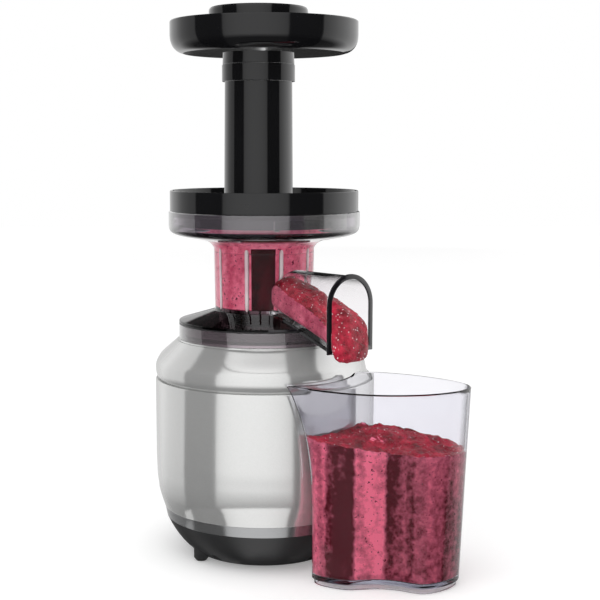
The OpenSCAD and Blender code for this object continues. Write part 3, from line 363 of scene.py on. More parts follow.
def masked_board(name):
    """Green solder mask, with tracks that show through it as paler lines."""
    finish, shader, place = new_finish(name, Roughness=0.32, Coat_Weight=0.4)
    tracks = node(finish, "TexBrick", Vector=place, Scale=60.0, Mortar_Size=0.04, Mortar=(0.05, 0.26, 0.1, 1),
                  Color1=(0.012, 0.11, 0.04, 1), Color2=(0.014, 0.14, 0.05, 1))
    bump = node(finish, "Bump", Height=tracks.outputs["Fac"], Distance=0.00005, Strength=1.0)
    feed(shader, Base_Color=tracks.outputs["Color"], Normal=bump.outputs[0])
    return finish


paint(masked_board("solder_mask"), "control_board")
paint(turned_metal("drawn_can", (0.72, 0.73, 0.74), 0.3, lines=60, across=900), "run_capacitor")

# ---------- body shell ----------
# The shell is a deep plastic moulding sprayed with satin silver paint, in which fine flakes show
# close up. It drops over the motor, and is screwed to the pan from below.


def metallic_paint(name, colour, roughness, metal=0.64):
    """Silver paint: a base with fine flakes that tip the light, under a clear satin coat."""
    finish, shader, place = new_finish(name, Metallic=metal, Coat_Weight=0.12, Coat_Roughness=0.05,
                                       Specular_Tint=(0.6, 0.6, 0.6, 1))
    flakes = node(finish, "TexVoronoi", Vector=place, Scale=2600.0)
    tone = node(finish, "SeparateColor", Color=flakes.outputs["Color"]).outputs["Red"]
    shade = ramp(finish, tone, (0.0, [c * 0.94 for c in colour]), (1.0, colour))
    return skinned(finish, shader, shade, tone, (roughness * 0.9, roughness * 1.1), tone, 0.000004, 0.5)


silver_paint = metallic_paint("silver_paint", (0.745, 0.748, 0.74), 0.11)
smoothed("body_moulding", "body_shell", silver_paint, "base", "silver_paint")

# ---------- trim band ----------
# A narrow ring in darker metallic paint, clipped between the pan and the shell. Its edges are
# rounded, so that a thin bright line shows along the top one.


def eased(profile, radius=0.4):
    """A closed profile (r, z and a corner's own radius, in mm) with its sharp corners rounded."""
    out = []
    for i, corner in enumerate(profile):
        here = Vector(corner[:2])
        before = Vector(profile[i - 1][:2]) - here
        after = Vector(profile[(i + 1) % len(profile)][:2]) - here
        own = corner[2] if len(corner) > 2 else radius
        bend = math.pi - before.angle(after)
        if bend < math.radians(14) or own == 0 or here.x < 1e-6:
            out.append(here)
            continue
        reach = min(own * math.tan(bend / 2), before.length * 0.46, after.length * 0.46)
        start = here + before.normalized() * reach
        end = here + after.normalized() * reach
        if before.length > 3 * reach:
            out.append(here + before.normalized() * reach * 1.3)
        steps = max(3, round(math.degrees(bend) / 14))
        for k in range(steps + 1):
            share = k / steps
            out.append(start.lerp(here, share).lerp(here.lerp(end, share), share))
        if after.length > 3 * reach:
            out.append(here + after.normalized() * reach * 1.3)
    return out


def loft(rows, closed=True):
    """A mesh kit over rows of equally many points in mm, each row a loop."""
    shape = bmesh.new()
    rings = [[shape.verts.new(Vector(p) * MM) for p in row] for row in rows]
    pairs = list(zip(rings, rings[1:] + rings[:1])) if closed else list(zip(rings, rings[1:]))
    for low_ring, high_ring in pairs:
        for i in range(len(low_ring)):
            j = (i + 1) % len(low_ring)
            shape.faces.new((low_ring[i], low_ring[j], high_ring[j], high_ring[i]))
    if not closed:
        shape.faces.new(rings[0])
        shape.faces.new(rings[-1])
    return shape


def turned_rows(profile, centre=(0, 0), steps=192, oval=0):
    """Rows for a profile turned about an upright axis. An oval sets its front and back halves apart."""
    half = steps // 2
    headings = [(1, math.pi * k / half) for k in range(half + 1)]
    headings += [(-1, math.pi + math.pi * k / half) for k in range(half + 1)]
    return [[(centre[0] + r * math.cos(a), centre[1] + r * math.sin(a) + side * oval, z)
             for side, a in headings] for r, z in profile]


def turned(name, profile, finish, centre=(0, 0), steps=192, radius=0.4, oval=0, crease=32):
    """A piece turned about an upright axis from a profile with eased corners."""
    return new_piece(name, loft(turned_rows(eased(profile, radius), centre, steps, oval)), finish, crease)


band_paint = metallic_paint("band_paint", (0.4, 0.404, 0.408), 0.16, metal=0.82)
trim_band = turned("trim_ring", [(69.4, 28), (72, 28, 0.3), (73.7, 36, 0.5), (71.1, 36)], band_paint, oval=9)
fit(trim_band, "base", "graphite_band", "trim_band")

# ---------- shoulder cap ----------
# The cap is a second silver moulding, whose tongue drops inside the shell at the crease. A shallow
# relief on its right keeps clear of the jug, and a hub in its middle carries the drive shaft.

RELIEF_HEADING = -20
RELIEF_HALF = 62
RELIEF_DEPTH = 6.5
CAP_LEVELS = [(63, 158, 0.5, 0), (76.2, 145.9, 7.65, 0.93), (78.3, 143.3, 9, 1), (79.3, 140.8, 9, 1),
              (79.6, 138, 9, 0.93), (79.3, 134.6, 9, 0.72), (78.3, 131.8, 9, 0.2), (77, 130, 9, 0)]


def faired(levels, steps):
    """Levels with a smooth curve of steps drawn between each and the next."""
    out = []
    for i in range(len(levels) - 1):
        a = levels[max(0, i - 1)]
        b, c = levels[i], levels[i + 1]
        d = levels[min(len(levels) - 1, i + 2)]
        for k in range(steps):
            t = k / steps
            out.append([0.5 * (2 * q + (r - p) * t + (2 * p - 5 * q + 4 * r - s) * t * t
                               + (3 * q - p - 3 * r + s) * t ** 3) for p, q, r, s in zip(a, b, c, d)])
    return out + [list(levels[-1])]


def cap_row(level, inset, lower=0.0, steps=96):
    """One loop of the cap: radius, height, oval stretch and share of the relief."""
    row = []
    for side in (1, -1):
        for k in range(steps + 1):
            a = (0 if side > 0 else 180) + 180 * k / steps
            off = abs(a - RELIEF_HEADING) % 360
            off = min(off, 360 - off)
            dip = RELIEF_DEPTH * (1 + math.cos(math.pi * off / RELIEF_HALF)) / 2 if off < RELIEF_HALF else 0
            r = level[0] - inset - level[3] * dip
            row.append((r * math.cos(math.radians(a)), r * math.sin(math.radians(a)) + side * level[2],
                        level[1] - lower))
    return row


cap_curve = [CAP_LEVELS[0], (64.2, 157, 1, 0.03), (69, 152.6, 3.6, 0.42)] + CAP_LEVELS[1:]
cap_outside = faired(cap_curve[1:], 5)
hub = [(10.5, 161), (10.5, 164), (15, 164), (15, 158), (58, 158), (58, 160.1), (60.2, 160.1), (60.2, 158),
       (63, 158)]
inner_edge = [(76.8, 130), (76.7, 124), (72.8, 124), (72.8, 130)]
top_rows = [cap_row((r, z, 0, 0), 0) for r, z in eased(hub + [(64.2, 157)], 0.4)[1:-3]]
skirt_rows = [cap_row(level, 0) for level in cap_outside]
tongue_rows = [cap_row((r, z, 9, 0), 0) for r, z in inner_edge]
under_rows = [cap_row(level, 2.8, 2.8) for level in reversed(cap_outside[: 5 * 6])]
under_rows += [cap_row((r, z, 0, 0), 0) for r, z in ((15, 155.2), (15, 149.2), (9, 149.2), (9, 161))]
cap = new_piece("shoulder_moulding", loft(top_rows + skirt_rows + tongue_rows + under_rows), silver_paint, 30)
fit(cap, "base", "silver_paint", "shoulder_cap")

# ---------- switch and cord gland ----------
# A black rocker in a black bezel at the back left, its cream body inside the shell, and a rubber
# gland at the back right, through which the mains cord comes in.

paint(moulded("switch_black", (0.022, 0.022, 0.023), 0.3, grain=1500, depth=0.00002), "switch_bezel",
      "switch_rocker")
paint(moulded("switch_cream", (0.72, 0.69, 0.6), 0.4, grain=900, cloud=0.04), "switch_body")
smoothed("gland_moulding", "cord_gland", foot_rubber, "base", "soft_rubber", 30)

# ---------- juice bowl ----------
# The bowl is moulded in clear, smoky plastic. Its collar stands on the cap, a chimney in its floor
# seals round the drive shaft, and a spout at the back is closed by a hinged stop.


def overlaid(finish, share, under, over):
    """A colour that gives way to a plain one by a share."""
    mix = node(finish, "Mix", data_type="RGBA")
    for spot, value in ((0, share), (6, under), (7, (*over, 1))):
        give(mix.inputs[spot], value)
    return mix.outputs[2]


def dotted(finish, place, way):
    """How far a place lies along a way."""
    made = node(finish, "VectorMath", operation="DOT_PRODUCT", Vector=place)
    give(made.inputs[1], way)
    return made.outputs["Value"]


def clear_moulding(name, tint, edge, dark, absorbs, density, coated=None, haze=0.0, core=0.0, zones=(),
                   aside=None):
    """Clear plastic: coloured by how far light runs inside it, and painted dark as shade where it is seen
    edge on.

    Below the radius core the painted edge shade is weaker, so its edges stay bright. Coated is where a shine
    and a haze come in, low to high, and a zone is a height from, a height to, a radius and the darker tint
    painted inside them as shade. A chute that heads aside, and is half as wide as its second number, is left
    out of the zones.
    """
    finish, shader, place = new_finish(name, Transmission_Weight=1.0, IOR=1.5, Coat_IOR=2.0,
                                       Coat_Roughness=0.02, Specular_Tint=(0.25, 0.25, 0.25, 1))
    drift = speckle(finish, place, 60)
    shade = ramp(finish, drift, (0.3, [c * 0.985 for c in tint]), (0.7, tint))
    split = node(finish, "SeparateXYZ", Vector=place)
    height = split.outputs["Z"]
    level = node(finish, "CombineXYZ", X=split.outputs["X"], Y=split.outputs["Y"])
    reach = node(finish, "VectorMath", operation="LENGTH", Vector=level.outputs[0]).outputs["Value"]
    # Painted shade: inside each zone the tint is darkened, for the dark parts and the shade seen through the
    # plastic.
    for low, high, radius, shade_tint in zones:
        heading, half_width = aside
        beside = dotted(finish, place, (-math.sin(heading), math.cos(heading), 0))
        ahead = dotted(finish, place, (math.cos(heading), math.sin(heading), 0))
        off_chute = maths(finish, "MAXIMUM",
                          maths(finish, "GREATER_THAN", maths(finish, "ABSOLUTE", beside), half_width),
                          maths(finish, "LESS_THAN", ahead, 0.02))
        inside = maths(finish, "MULTIPLY", maths(finish, "GREATER_THAN", height, low),
                       maths(finish, "LESS_THAN", height, high))
        inside = maths(finish, "MULTIPLY", inside, maths(finish, "LESS_THAN", reach, radius))
        shade = overlaid(finish, maths(finish, "MULTIPLY", inside, off_chute), shade, shade_tint)
    # Painted shade: where the surface is seen edge on, its colour gives way to the edge colour, standing in
    # for light the plastic bends and reflects away. Diffuse rays don't see it.
    facing = node(finish, "LayerWeight", Blend=0.5).outputs["Facing"]
    edge_shade_share = ramp(finish, facing, (dark[0], 0.0), (dark[1], 1.0))
    lit = maths(finish, "SUBTRACT", 1.0, node(finish, "LightPath").outputs["Is Diffuse Ray"])
    edge_shade_share = maths(finish, "MULTIPLY", edge_shade_share, lit)
    if core:
        outer = ranged(finish, reach, 0.35, 1.0, core, core + 0.003)
        edge_shade_share = maths(finish, "MULTIPLY", edge_shade_share, outer)
    if coated:
        shine = ranged(finish, height, 0.0, 1.0, *coated)
        feed(shader, Coat_Weight=shine, Transmission_Weight=maths(finish, "MULTIPLY_ADD", shine, -haze, 1.0))
    body = node(finish, "VolumeAbsorption", Color=(*absorbs, 1), Density=float(density))
    feed(finish.node_tree.nodes["Material Output"], Volume=body.outputs[0])
    return skinned(finish, shader, overlaid(finish, edge_shade_share, shade, edge), drift, (0.006, 0.02),
                   speckle(finish, place, 90, 1.0), 0.00006)


bowl_smoke = clear_moulding("bowl_smoke", (0.9, 0.77, 0.84), (0.01, 0.008, 0.01), (0.5, 0.85),
                            (0.45, 0.36, 0.42), 300, coated=(0.1, 0.12), haze=0.07)
bowl = smoothed("bowl_moulding", "juice_bowl", bowl_smoke, "bowl", "smoky_clear", 30)
gasket_black = moulded("gasket_black", (0.012, 0.012, 0.013), 0.4, grain=1500, depth=0.00002)
paint(gasket_black, "bowl_gasket", "drip_stop")
paint(seal_rubber, "bowl_seal", "drip_seal")

# ---------- press chamber ----------
# One clear moulding: a skirt over the bowl, a neck with nine ribs round the strainer, coloured pale as
# painted highlights, a wide ring with three bayonet ledges for the lid, and the arched, flanged chute for the
# frozen pulp.

CHUTE = math.radians(-50)


def between(a, b, count):
    """Points from a on towards b, b left out."""
    return [tuple(p + (q - p) * k / count for p, q in zip(a, b)) for k in range(count)]


chamber_outside = [(62.8, 169.6), (62.8, 171.2, 0.8), (36, 179, 1.6)]
chamber_outside += between((36.05, 182), (36.75, 222), 12) + [(36.8, 224.5, 2)]
funnel_outside = [(39, 227.5), (43, 229.8), (47.8, 231), (62, 233.6), (67.5, 235.6), (69.5, 238), (70, 241)]
chamber_outside += [tuple(p) for p in faired(funnel_outside, 3)] + [(70, 251, 0.5)]
chamber_inside = [(67.4, 251, 0.5), (67.4, 241.2, 2), (66.4, 238.6), (61.5, 236.4), (46.8, 233.7),
                  (41.8, 232.3), (36.8, 229.1), (35.2, 226, 0.3), (35.2, 221.5, 0.2), (34, 221.5, 0.3),
                  (33.4, 178.4, 1), (60.2, 169.6)]
# The skirt and the ring get darker tints in zones: painted shade for the dark parts behind them.
press_clear = clear_moulding("press_clear", (0.975, 0.96, 0.97), (0.004, 0.003, 0.004), (0.52, 0.86),
                             (0.5, 0.42, 0.48), 40, coated=(0.236, 0.24), haze=0.05, core=0.05,
                             zones=[(0.16, 0.1818, 0.0629, (0.16, 0.09, 0.11)),
                                    (0.2335, 0.26, 0.08, (0.68, 0.6, 0.7))],
                             aside=(CHUTE, 0.0202))
chamber = turned("chamber_moulding", chamber_outside + chamber_inside, press_clear, steps=256, radius=0.3,
                 crease=30)


def along_chute(t, s, z):
    """A point t mm out along the chute and s mm to its left, at height z."""
    return (t * math.cos(CHUTE) - s * math.sin(CHUTE), t * math.sin(CHUTE) + s * math.cos(CHUTE), z)


def chute_floor(t):
    return 182 + (t - 30) * (160.5 - 182) / 63


def arch(t, half, low_z):
    """The chute's upright arch at t, from its left foot over the top to its right foot."""
    wall = [low_z] + [low_z + 2.2 + (187.8 - low_z) * k / 6 for k in range(6)]
    roof = [along_chute(t, -half * math.cos(math.pi * k / 40), 190 + half * math.sin(math.pi * k / 40))
            for k in range(41)]
    return [along_chute(t, -half, z) for z in wall] + roof + [along_chute(t, half, z) for z in wall[::-1]]


def chute_rows(half, drop, stations):
    """The chute's arches at stations: how far out, and how much wider there than half."""
    return [arch(t, half + wider, chute_floor(t) - drop - wider) for t, wider in stations]


mouth = [(30, 0), (45, 0), (60, 0), (75, 0), (89.8, 0), (90.6, 0.25), (91.2, 0.9), (91.6, 1.25), (92.5, 1.3),
         (92.8, 1.15), (93, 0.8)]
chute_skin = new_piece("chute_skin", loft(chute_rows(20, 2.32, mouth), closed=False), press_clear)
chute_bore = new_piece("chute_bore", loft(chute_rows(17.8, 0, [(20, 0), (91.7, 0), (120, 0)]), closed=False),
                       press_clear)


def settled(piece):
    """Makes the piece's modifiers a part of its mesh."""
    whole = bpy.data.meshes.new_from_object(piece.evaluated_get(bpy.context.evaluated_depsgraph_get()))
    piece.modifiers.clear()
    piece.data = whole


def carved(piece, operation, tool):
    """Joins the piece with a tool, or cuts it, and uses up the tool."""
    step = piece.modifiers.new("carve", "BOOLEAN")
    step.operation = operation
    step.solver = "EXACT"
    step.object = tool
    settled(piece)
    piece.data.set_sharp_from_angle(angle=math.radians(30))
    bpy.data.objects.remove(tool)


def new_tree(name, *sizes):
    """A shape tree whose inputs are a mesh, a finish and named sizes."""
    tree = bpy.data.node_groups.new(name, "GeometryNodeTree")
    tree.interface.new_socket("Geometry", in_out="OUTPUT", socket_type="NodeSocketGeometry")
    for size, kind in (("Geometry", "Geometry"), ("Finish", "Material"), *sizes):
        tree.interface.new_socket(size, in_out="INPUT", socket_type="NodeSocket" + kind)
    return tree, node(tree, "NodeGroupInput").outputs


def tree_end(tree, instances, finish):
    """The tree's end: real faces, in their finish."""
    real = node(tree, "GeometryNodeRealizeInstances", Geometry=instances)
    dressed = node(tree, "GeometryNodeSetMaterial", Geometry=real.outputs[0], Material=finish)
    node(tree, "NodeGroupOutput", Geometry=dressed.outputs[0])


def grown(piece, tree, **sizes):
    """The piece as a tree makes it from its mesh and from these sizes."""
    step = piece.modifiers.new("grow", "NODES")
    step.node_group = tree
    for item in tree.interface.items_tree:
        if item.in_out == "INPUT" and item.name.replace(" ", "_") in sizes:
            step[item.identifier] = sizes[item.name.replace(" ", "_")]
    settled(piece)
    return piece


round_tree, given = new_tree("set_round", ("Count", "Int"), ("First heading", "Float"))
spots = node(round_tree, "GeometryNodeMeshLine", Count=given["Count"], Offset=(0, 0, 0))
order = node(round_tree, "GeometryNodeInputIndex").outputs[0]
heading = maths(round_tree, "MULTIPLY_ADD", order, maths(round_tree, "DIVIDE", math.tau, given["Count"]),
                given["First heading"])
copies = node(round_tree, "GeometryNodeInstanceOnPoints", Points=spots.outputs[0], Instance=given["Geometry"],
              Rotation=node(round_tree, "CombineXYZ", Z=heading).outputs[0])
tree_end(round_tree, copies.outputs[0], given["Finish"])


def arc_bar(name, inner, outer, low_z, high_z, start, end, finish):
    """A curved bar of square section, from one heading to another in degrees."""
    rows = []
    for k in range(9):
        a = math.radians(start + (end - start) * k / 8)
        rows.append([(r * math.cos(a), r * math.sin(a), z) for r, z in
                     ((inner, low_z), (outer, low_z), (outer, high_z), (inner, high_z))])
    return new_piece(name, loft(rows, closed=False), finish)


for r, high_z in ((33.7, 224), (62.9, 169.6)):
    bore_rows = turned_rows([(0.001, 140), (r, 140), (r, high_z), (0.001, high_z)], steps=128)
    carved(chute_skin, "DIFFERENCE", new_piece("bore", loft(bore_rows), press_clear))
carved(chamber, "UNION", chute_skin)
carved(chamber, "DIFFERENCE", chute_bore)
ledges = arc_bar("ledges", 64.7, 67.7, 243.5, 246, -81, -47, press_clear)
stops = arc_bar("stops", 64.7, 67.7, 240, 246.9, -84, -80.9, press_clear)
for bars in (ledges, stops):
    grown(bars, round_tree, Count=3, First_heading=0.0, Finish=press_clear)
    carved(chamber, "UNION", bars)

outward = Vector((math.cos(CHUTE), math.sin(CHUTE), 0))


def refinished(piece, finish, chosen):
    """Gives another finish to the faces chosen by their middle in mm and by how far they look up."""
    piece.data.materials.append(finish)
    for face in piece.data.polygons:
        if chosen(face.center / MM, face.normal.z):
            face.material_index = 1


def on_edge(middle, up):
    """Whether a face is on the chute's mouth or its lower edge, where shade is painted."""
    along = middle.dot(outward)
    return middle.z < 220 and (along > 91.5 or along > 50 and middle.z < chute_floor(along) - 0.1)


# Painted shade: the chute's mouth and lower edges are near black, for the dark the clear wall shows when it
# is seen end on.
edge_dark = moulded("edge_dark", (0.006, 0.005, 0.007), 0.12, grain=600, depth=0.00001, Coat_Weight=0.3)
refinished(chamber, edge_dark, on_edge)
fit(chamber, "bowl", "smoky_clear", "press_chamber")

rib_rows = []
for z, r, wide in [(180.6, 36.0, 0.7), (181.4, 36.05, 1.3), (183, 36.1, 1.55), *between((196, 36.3, 1.6),
                   (221, 36.75, 1.75), 3), (223, 36.8, 1.6), (224.4, 36.8, 1.2), (225, 36.8, 0.6)]:
    rib_rows.append([(r - 1.0 + 1.55 * math.sin(math.pi * k / 8), -wide * math.cos(math.pi * k / 8), z)
                     for k in range(9)])
# Painted highlight: the ribs are pale pink to white, standing in for glints of lamps on the ribbed neck.
rib_clear, rib_shader, rib_place = new_finish("rib_clear", Transmission_Weight=0.25, IOR=1.45)
haze = speckle(rib_clear, rib_place, 70)
feed(rib_shader, Base_Color=ramp(rib_clear, haze, (0.35, (0.9, 0.62, 0.7)), (0.62, (0.98, 0.9, 0.92))),
     Roughness=ranged(rib_clear, haze, 0.05, 0.16))
ribs = grown(new_piece("neck_ribs", loft(rib_rows, closed=False), rib_clear), round_tree,
             Count=9, First_heading=math.radians(-30), Finish=rib_clear)
fit(ribs, "bowl", "smoky_clear")

# ---------- strainer ----------
# A stainless strainer with two rows of slots hangs in the neck by its flange. The black moulded ring
# under it has teeth that sweep the juice channel, and notches that let the juice in.

paint(turned_metal("strainer_steel", (0.62, 0.62, 0.63), 0.25, lines=900), "strainer")
ring_black = moulded("ring_black", (0.012, 0.009, 0.012), 0.25, grain=1200, depth=0.00002)
foot_profile = [(27.3, 162.4), (33.3, 162.4), (33.3, 165.4, 0.2), (54.8, 165.4), (54.8, 167.4),
                (33.3, 167.4, 0.2), (33.3, 176.6), (31.5, 176.6), (31.5, 168.6), (27.3, 168.6)]
foot_ring = turned("toothed_ring", foot_profile, ring_black, steps=160)
notches = arc_bar("notches", 26, 37.3, 161, 164.4, -4.6, 4.6, ring_black)
grown(notches, round_tree, Count=12, First_heading=0.0, Finish=ring_black)
carved(foot_ring, "DIFFERENCE", notches)
fit(foot_ring, "bowl", "smoky_clear", "strainer_foot")
tooth_rows = [[(51.8, -1.1, z), (54.8 - taper, -1.1, z), (54.8 - taper, 1.1, z), (51.8, 1.1, z)]
              for z, taper in ((162.5, 0.5), (163.4, 0), (168.6, 0), (169.3, 0.6))]
teeth = grown(new_piece("ring_teeth", loft(tooth_rows, closed=False), ring_black), round_tree,
              Count=36, First_heading=0.0, Finish=ring_black)
fit(teeth, "bowl", "smoky_clear")

# ---------- auger ----------
# The auger is a tough moulded resin with a satin finish, and the drive hexagon in its foot is a
# pressed-in steel socket.

paint(moulded("auger_resin", (0.5, 0.44, 0.34), 0.34, grain=700, cloud=0.06), "auger")
paint(gear_steel, "auger_socket")

# ---------- lid ----------
# A glossy black moulding with a raised rim round a sunken deck. Three lugs on its spigot turn under
# the ring's ledges, and a small triangle in the rim shows where it comes free.

gloss_black = moulded("gloss_black", (0.0055, 0.0055, 0.0063), 0.06, grain=160, depth=0.00001, cloud=0.1)
FEED = (-4, -8)


def bored(piece, r, low_z, high_z):
    """The piece with a round hole for the feed tube or the pusher."""
    drill = turned("drill", [(0, low_z), (r, low_z), (r, high_z), (0, high_z)], gloss_black, FEED, 160, 0)
    carved(piece, "DIFFERENCE", drill)


LID_R = 69
lid_profile = [(0, 256.5), (61.8, 256.5, 0.6), (61.8, 240.3, 0.3), (64.2, 240.3, 0.3), (64.2, 251.3, 0.3),
               (LID_R, 251.3, 0.5), (LID_R, 266.4, 1.1), (66.6, 266.4, 0.8), (66, 260, 1), (65, 259, 0.8),
               (0, 259)]
lid = turned("lid_moulding", lid_profile, gloss_black, steps=256)
lid_boss = turned("lid_boss", [(0, 255), (27.9, 255), (27.9, 257), (0, 257)], gloss_black, FEED, 160)
carved(lid, "UNION", lid_boss)
bored(lid, 23.7, 250, 262)
lugs = arc_bar("lid_lugs", 63.2, 66.6, 240.3, 243, -44, -32, gloss_black)
grown(lugs, round_tree, Count=3, First_heading=0.0, Finish=gloss_black)
carved(lid, "UNION", lugs)
fit(lid, "lid", "black_gloss", "lid")
paint(seal_rubber, "lid_gasket")

MARK = math.radians(-100)
mark_edge = ((-2.4, 4), (2.4, 4), (0, 0))
mark_window = ((-1.7, 3.6), (1.7, 3.6), (0, 0.8))
mark_rows = []
for r, corners in ((68.6, mark_edge), (69.07, mark_edge), (69.07, mark_window), (68.6, mark_window)):
    mark_rows.append([(r * math.cos(MARK + x / LID_R), r * math.sin(MARK + x / LID_R), 255.3 + z)
                      for x, z in corners])
lid_mark = new_piece("lid_mark", loft(mark_rows), matte_black)
fit(lid_mark, "lid", "black_gloss")

# ---------- feed tube ----------
# A drawn-out black tube with a flange where it stands in the lid, and a socket collar near its top
# that the tray sits on.

tube_profile = [(21.9, 252.5), (23.6, 252.5), (23.6, 259, 0.2), (26.5, 259, 0.3), (26.5, 261.4, 0.7),
                (24.9, 261.4, 0.6), (24.3, 344.5, 0.4), (26.3, 344.5, 0.5), (26.3, 356.5, 0.6),
                (23.9, 356.5, 0.2), (23.9, 365.5, 0.4), (21.9, 365.5, 0.4)]
tube = turned("tube_moulding", tube_profile, gloss_black, FEED, 160)
fit(tube, "lid", "black_gloss", "feed_tube")

# ---------- hopper tray ----------
# A round, shallow tray with a rolled rim. The sleeve under it drops over the feed tube.

tray_outside = [(58.7, 365), (62.7, 366.4), (65.9, 369.4), (67.7, 373.4), (68.3, 377.5)]
tray_inside = [(65.4, 377.5), (64.7, 374.4), (63.1, 371.4), (60.7, 369.1), (57.7, 368)]
tray_profile = [(0, 365)] + [tuple(p) for p in faired(tray_outside, 4)] + [(68.3, 388, 1.5), (65.5, 388, 1.2)]
tray_profile += [tuple(p) for p in faired(tray_inside, 4)] + [(0, 368)]
tray = turned("tray_moulding", tray_profile, gloss_black, steps=256)
sleeve = turned("sleeve", [(0, 356.8), (25.9, 356.8, 0.5), (25.5, 366), (0, 366)], gloss_black, FEED, 160)
carved(tray, "UNION", sleeve)
bored(tray, 24.2, 350, 365.8)
bored(tray, 21.9, 360, 380)
fit(tray, "tray", "black_gloss", "hopper_tray")

# ---------- pusher ----------
# A hollow black stem that fits the feed tube, closed by a broad round knob with a flat top.

KNOB = [(21.6, 368.3), (34.6, 368.3, 0.4), (35.6, 369.3, 0.4), (35.6, 397, 3.2), (0, 397), (0, 394.4),
        (33, 394.4, 2), (33, 370.7, 0.4), (21.6, 370.7)]
knob = turned("knob_moulding", KNOB, gloss_black, FEED, 160)
fit(knob, "pusher", "black_gloss", "pusher_knob")
stem = smoothed("stem_moulding", "pusher_stem", gloss_black, "pusher", "black_gloss", 30)

# ---------- jug ----------
# A clear moulding with a faint lilac tint, a spout at its left and a waisted front. Its walls lean
# out to a higher rim, and its floor stands on a thin foot.

JUG_LOW = [(33, -92), (39, -101), (54, -109), (66, -108.5), (78, -107.5), (90, -110.5), (99, -115.5),
           (108, -117.5), (119, -112.5), (129, -103), (134, -92), (132, -76), (124, -64), (112, -56),
           (99, -52), (86, -52.5), (75, -56), (66.5, -61.5), (59, -67.5), (46, -78.2), (36, -85)]
JUG_RIM = [(15.5, -91, 137, 4), (26, -95, 136.4, 3), (40, -103.5, 136, 1.6), (56, -112.6, 136, 1.4),
           (70, -117.4, 136, 1.4), (84, -119.3, 136, 1.4), (98, -118.5, 136, 1.2),
           (111, -115.5, 136, 1), (123, -109.6, 136, 1), (133, -101.6, 136, 1), (140.5, -89, 136, 1),
           (140, -77, 136.1, 1), (131.5, -65, 136.5, 1), (118.5, -56, 137.2, 1), (104, -50.4, 138.1, 1),
           (90, -49.4, 139.2, 1), (77, -52, 140.4, 1), (64, -61.8, 141.8, 1), (58, -67.9, 139.4, 1),
           (45.5, -78.9, 137.6, 1), (30, -86.2, 137, 2)]
JUG_WALL = 2.2
JUG_STEPS = 8
JUG_LEVELS = 40


def jug_outline(t):
    """The jug's outside at a level, from 0 at the foot to 1 at the rim."""
    marks = []
    for (x, y), (rx, ry, rz, late) in zip(JUG_LOW, JUG_RIM):
        lean = t ** late if t > 0 else 0
        marks.append((x + (rx - x) * lean, y + (ry - y) * lean, 4 + (rz - 4) * t))
    marks = [marks[-1]] + marks + marks[:2]
    return [tuple(p) for p in faired(marks, JUG_STEPS)][JUG_STEPS:-JUG_STEPS - 1]


def inside_of(row, wall, lip=0.0, z=None):
    """The row moved inwards by a wall, which thins near the spout's tip."""
    out = []
    count = len(row)
    for i, p in enumerate(row):
        ahead, behind = row[(i + 1) % count], row[i - 1]
        v = Vector((ahead[0] - behind[0], ahead[1] - behind[1])).normalized()
        from_tip = min(i, count - i) * 3 / JUG_STEPS
        d = wall * (1 - lip * max(0, 1 - from_tip / 4))
        out.append((p[0] - v.y * d, p[1] + v.x * d, p[2] if z is None else z))
    return out


foot_row = jug_outline(0)
jug_rows = [inside_of(foot_row, inset, z=z) for inset, z in
            ((4.0, 3.7), (4.0, 0.3), (3.7, 0), (2.1, 0), (1.8, 0.3), (1.8, 3.2), (1.4, 3.5), (0.25, 3.75),
             (0, 4.3))]
jug_rows += [jug_outline(0.01 + 0.982 * k / JUG_LEVELS) for k in range(JUG_LEVELS + 1)]
rim_row = jug_outline(1)
for turn_share in (0.0, 0.15, 0.35, 0.6, 0.85, 1.0):
    drop = 0.9 * (1 - math.sin(math.pi * turn_share))
    across = JUG_WALL * turn_share
    jug_rows.append([(x, y, z - drop) for x, y, z in inside_of(rim_row, across, 0.7)])
for k in range(JUG_LEVELS - 1, -1, -1):
    t = 0.02 + 0.97 * k / JUG_LEVELS
    jug_rows.append(inside_of(jug_outline(t), JUG_WALL, 0.7 * t * t))
for share in (0.25, 0.5, 0.75, 1.0):
    dip = 7.4 - 0.8 * math.sin(share * math.pi / 2)
    jug_rows.append(inside_of(foot_row, JUG_WALL + 1.6 * (1 - math.cos(share * math.pi / 2)), z=dip))
jug_clear = clear_moulding("jug_clear", (0.93, 0.925, 0.955), (0.03, 0.027, 0.04), (0.42, 0.74),
                           (0.5, 0.5, 0.58), 40)
jug = new_piece("jug_moulding", loft(jug_rows, closed=False), jug_clear, 40)
fit(jug, "jug", "jug_clear", "jug")

# ---------- frozen dessert ----------
# What the machine makes, and not a part of it: it fills the neck, slides down the chute and stands
# in the jug. It is crimson, smooth where it is pressed on plastic, and rough and icy where it broke.


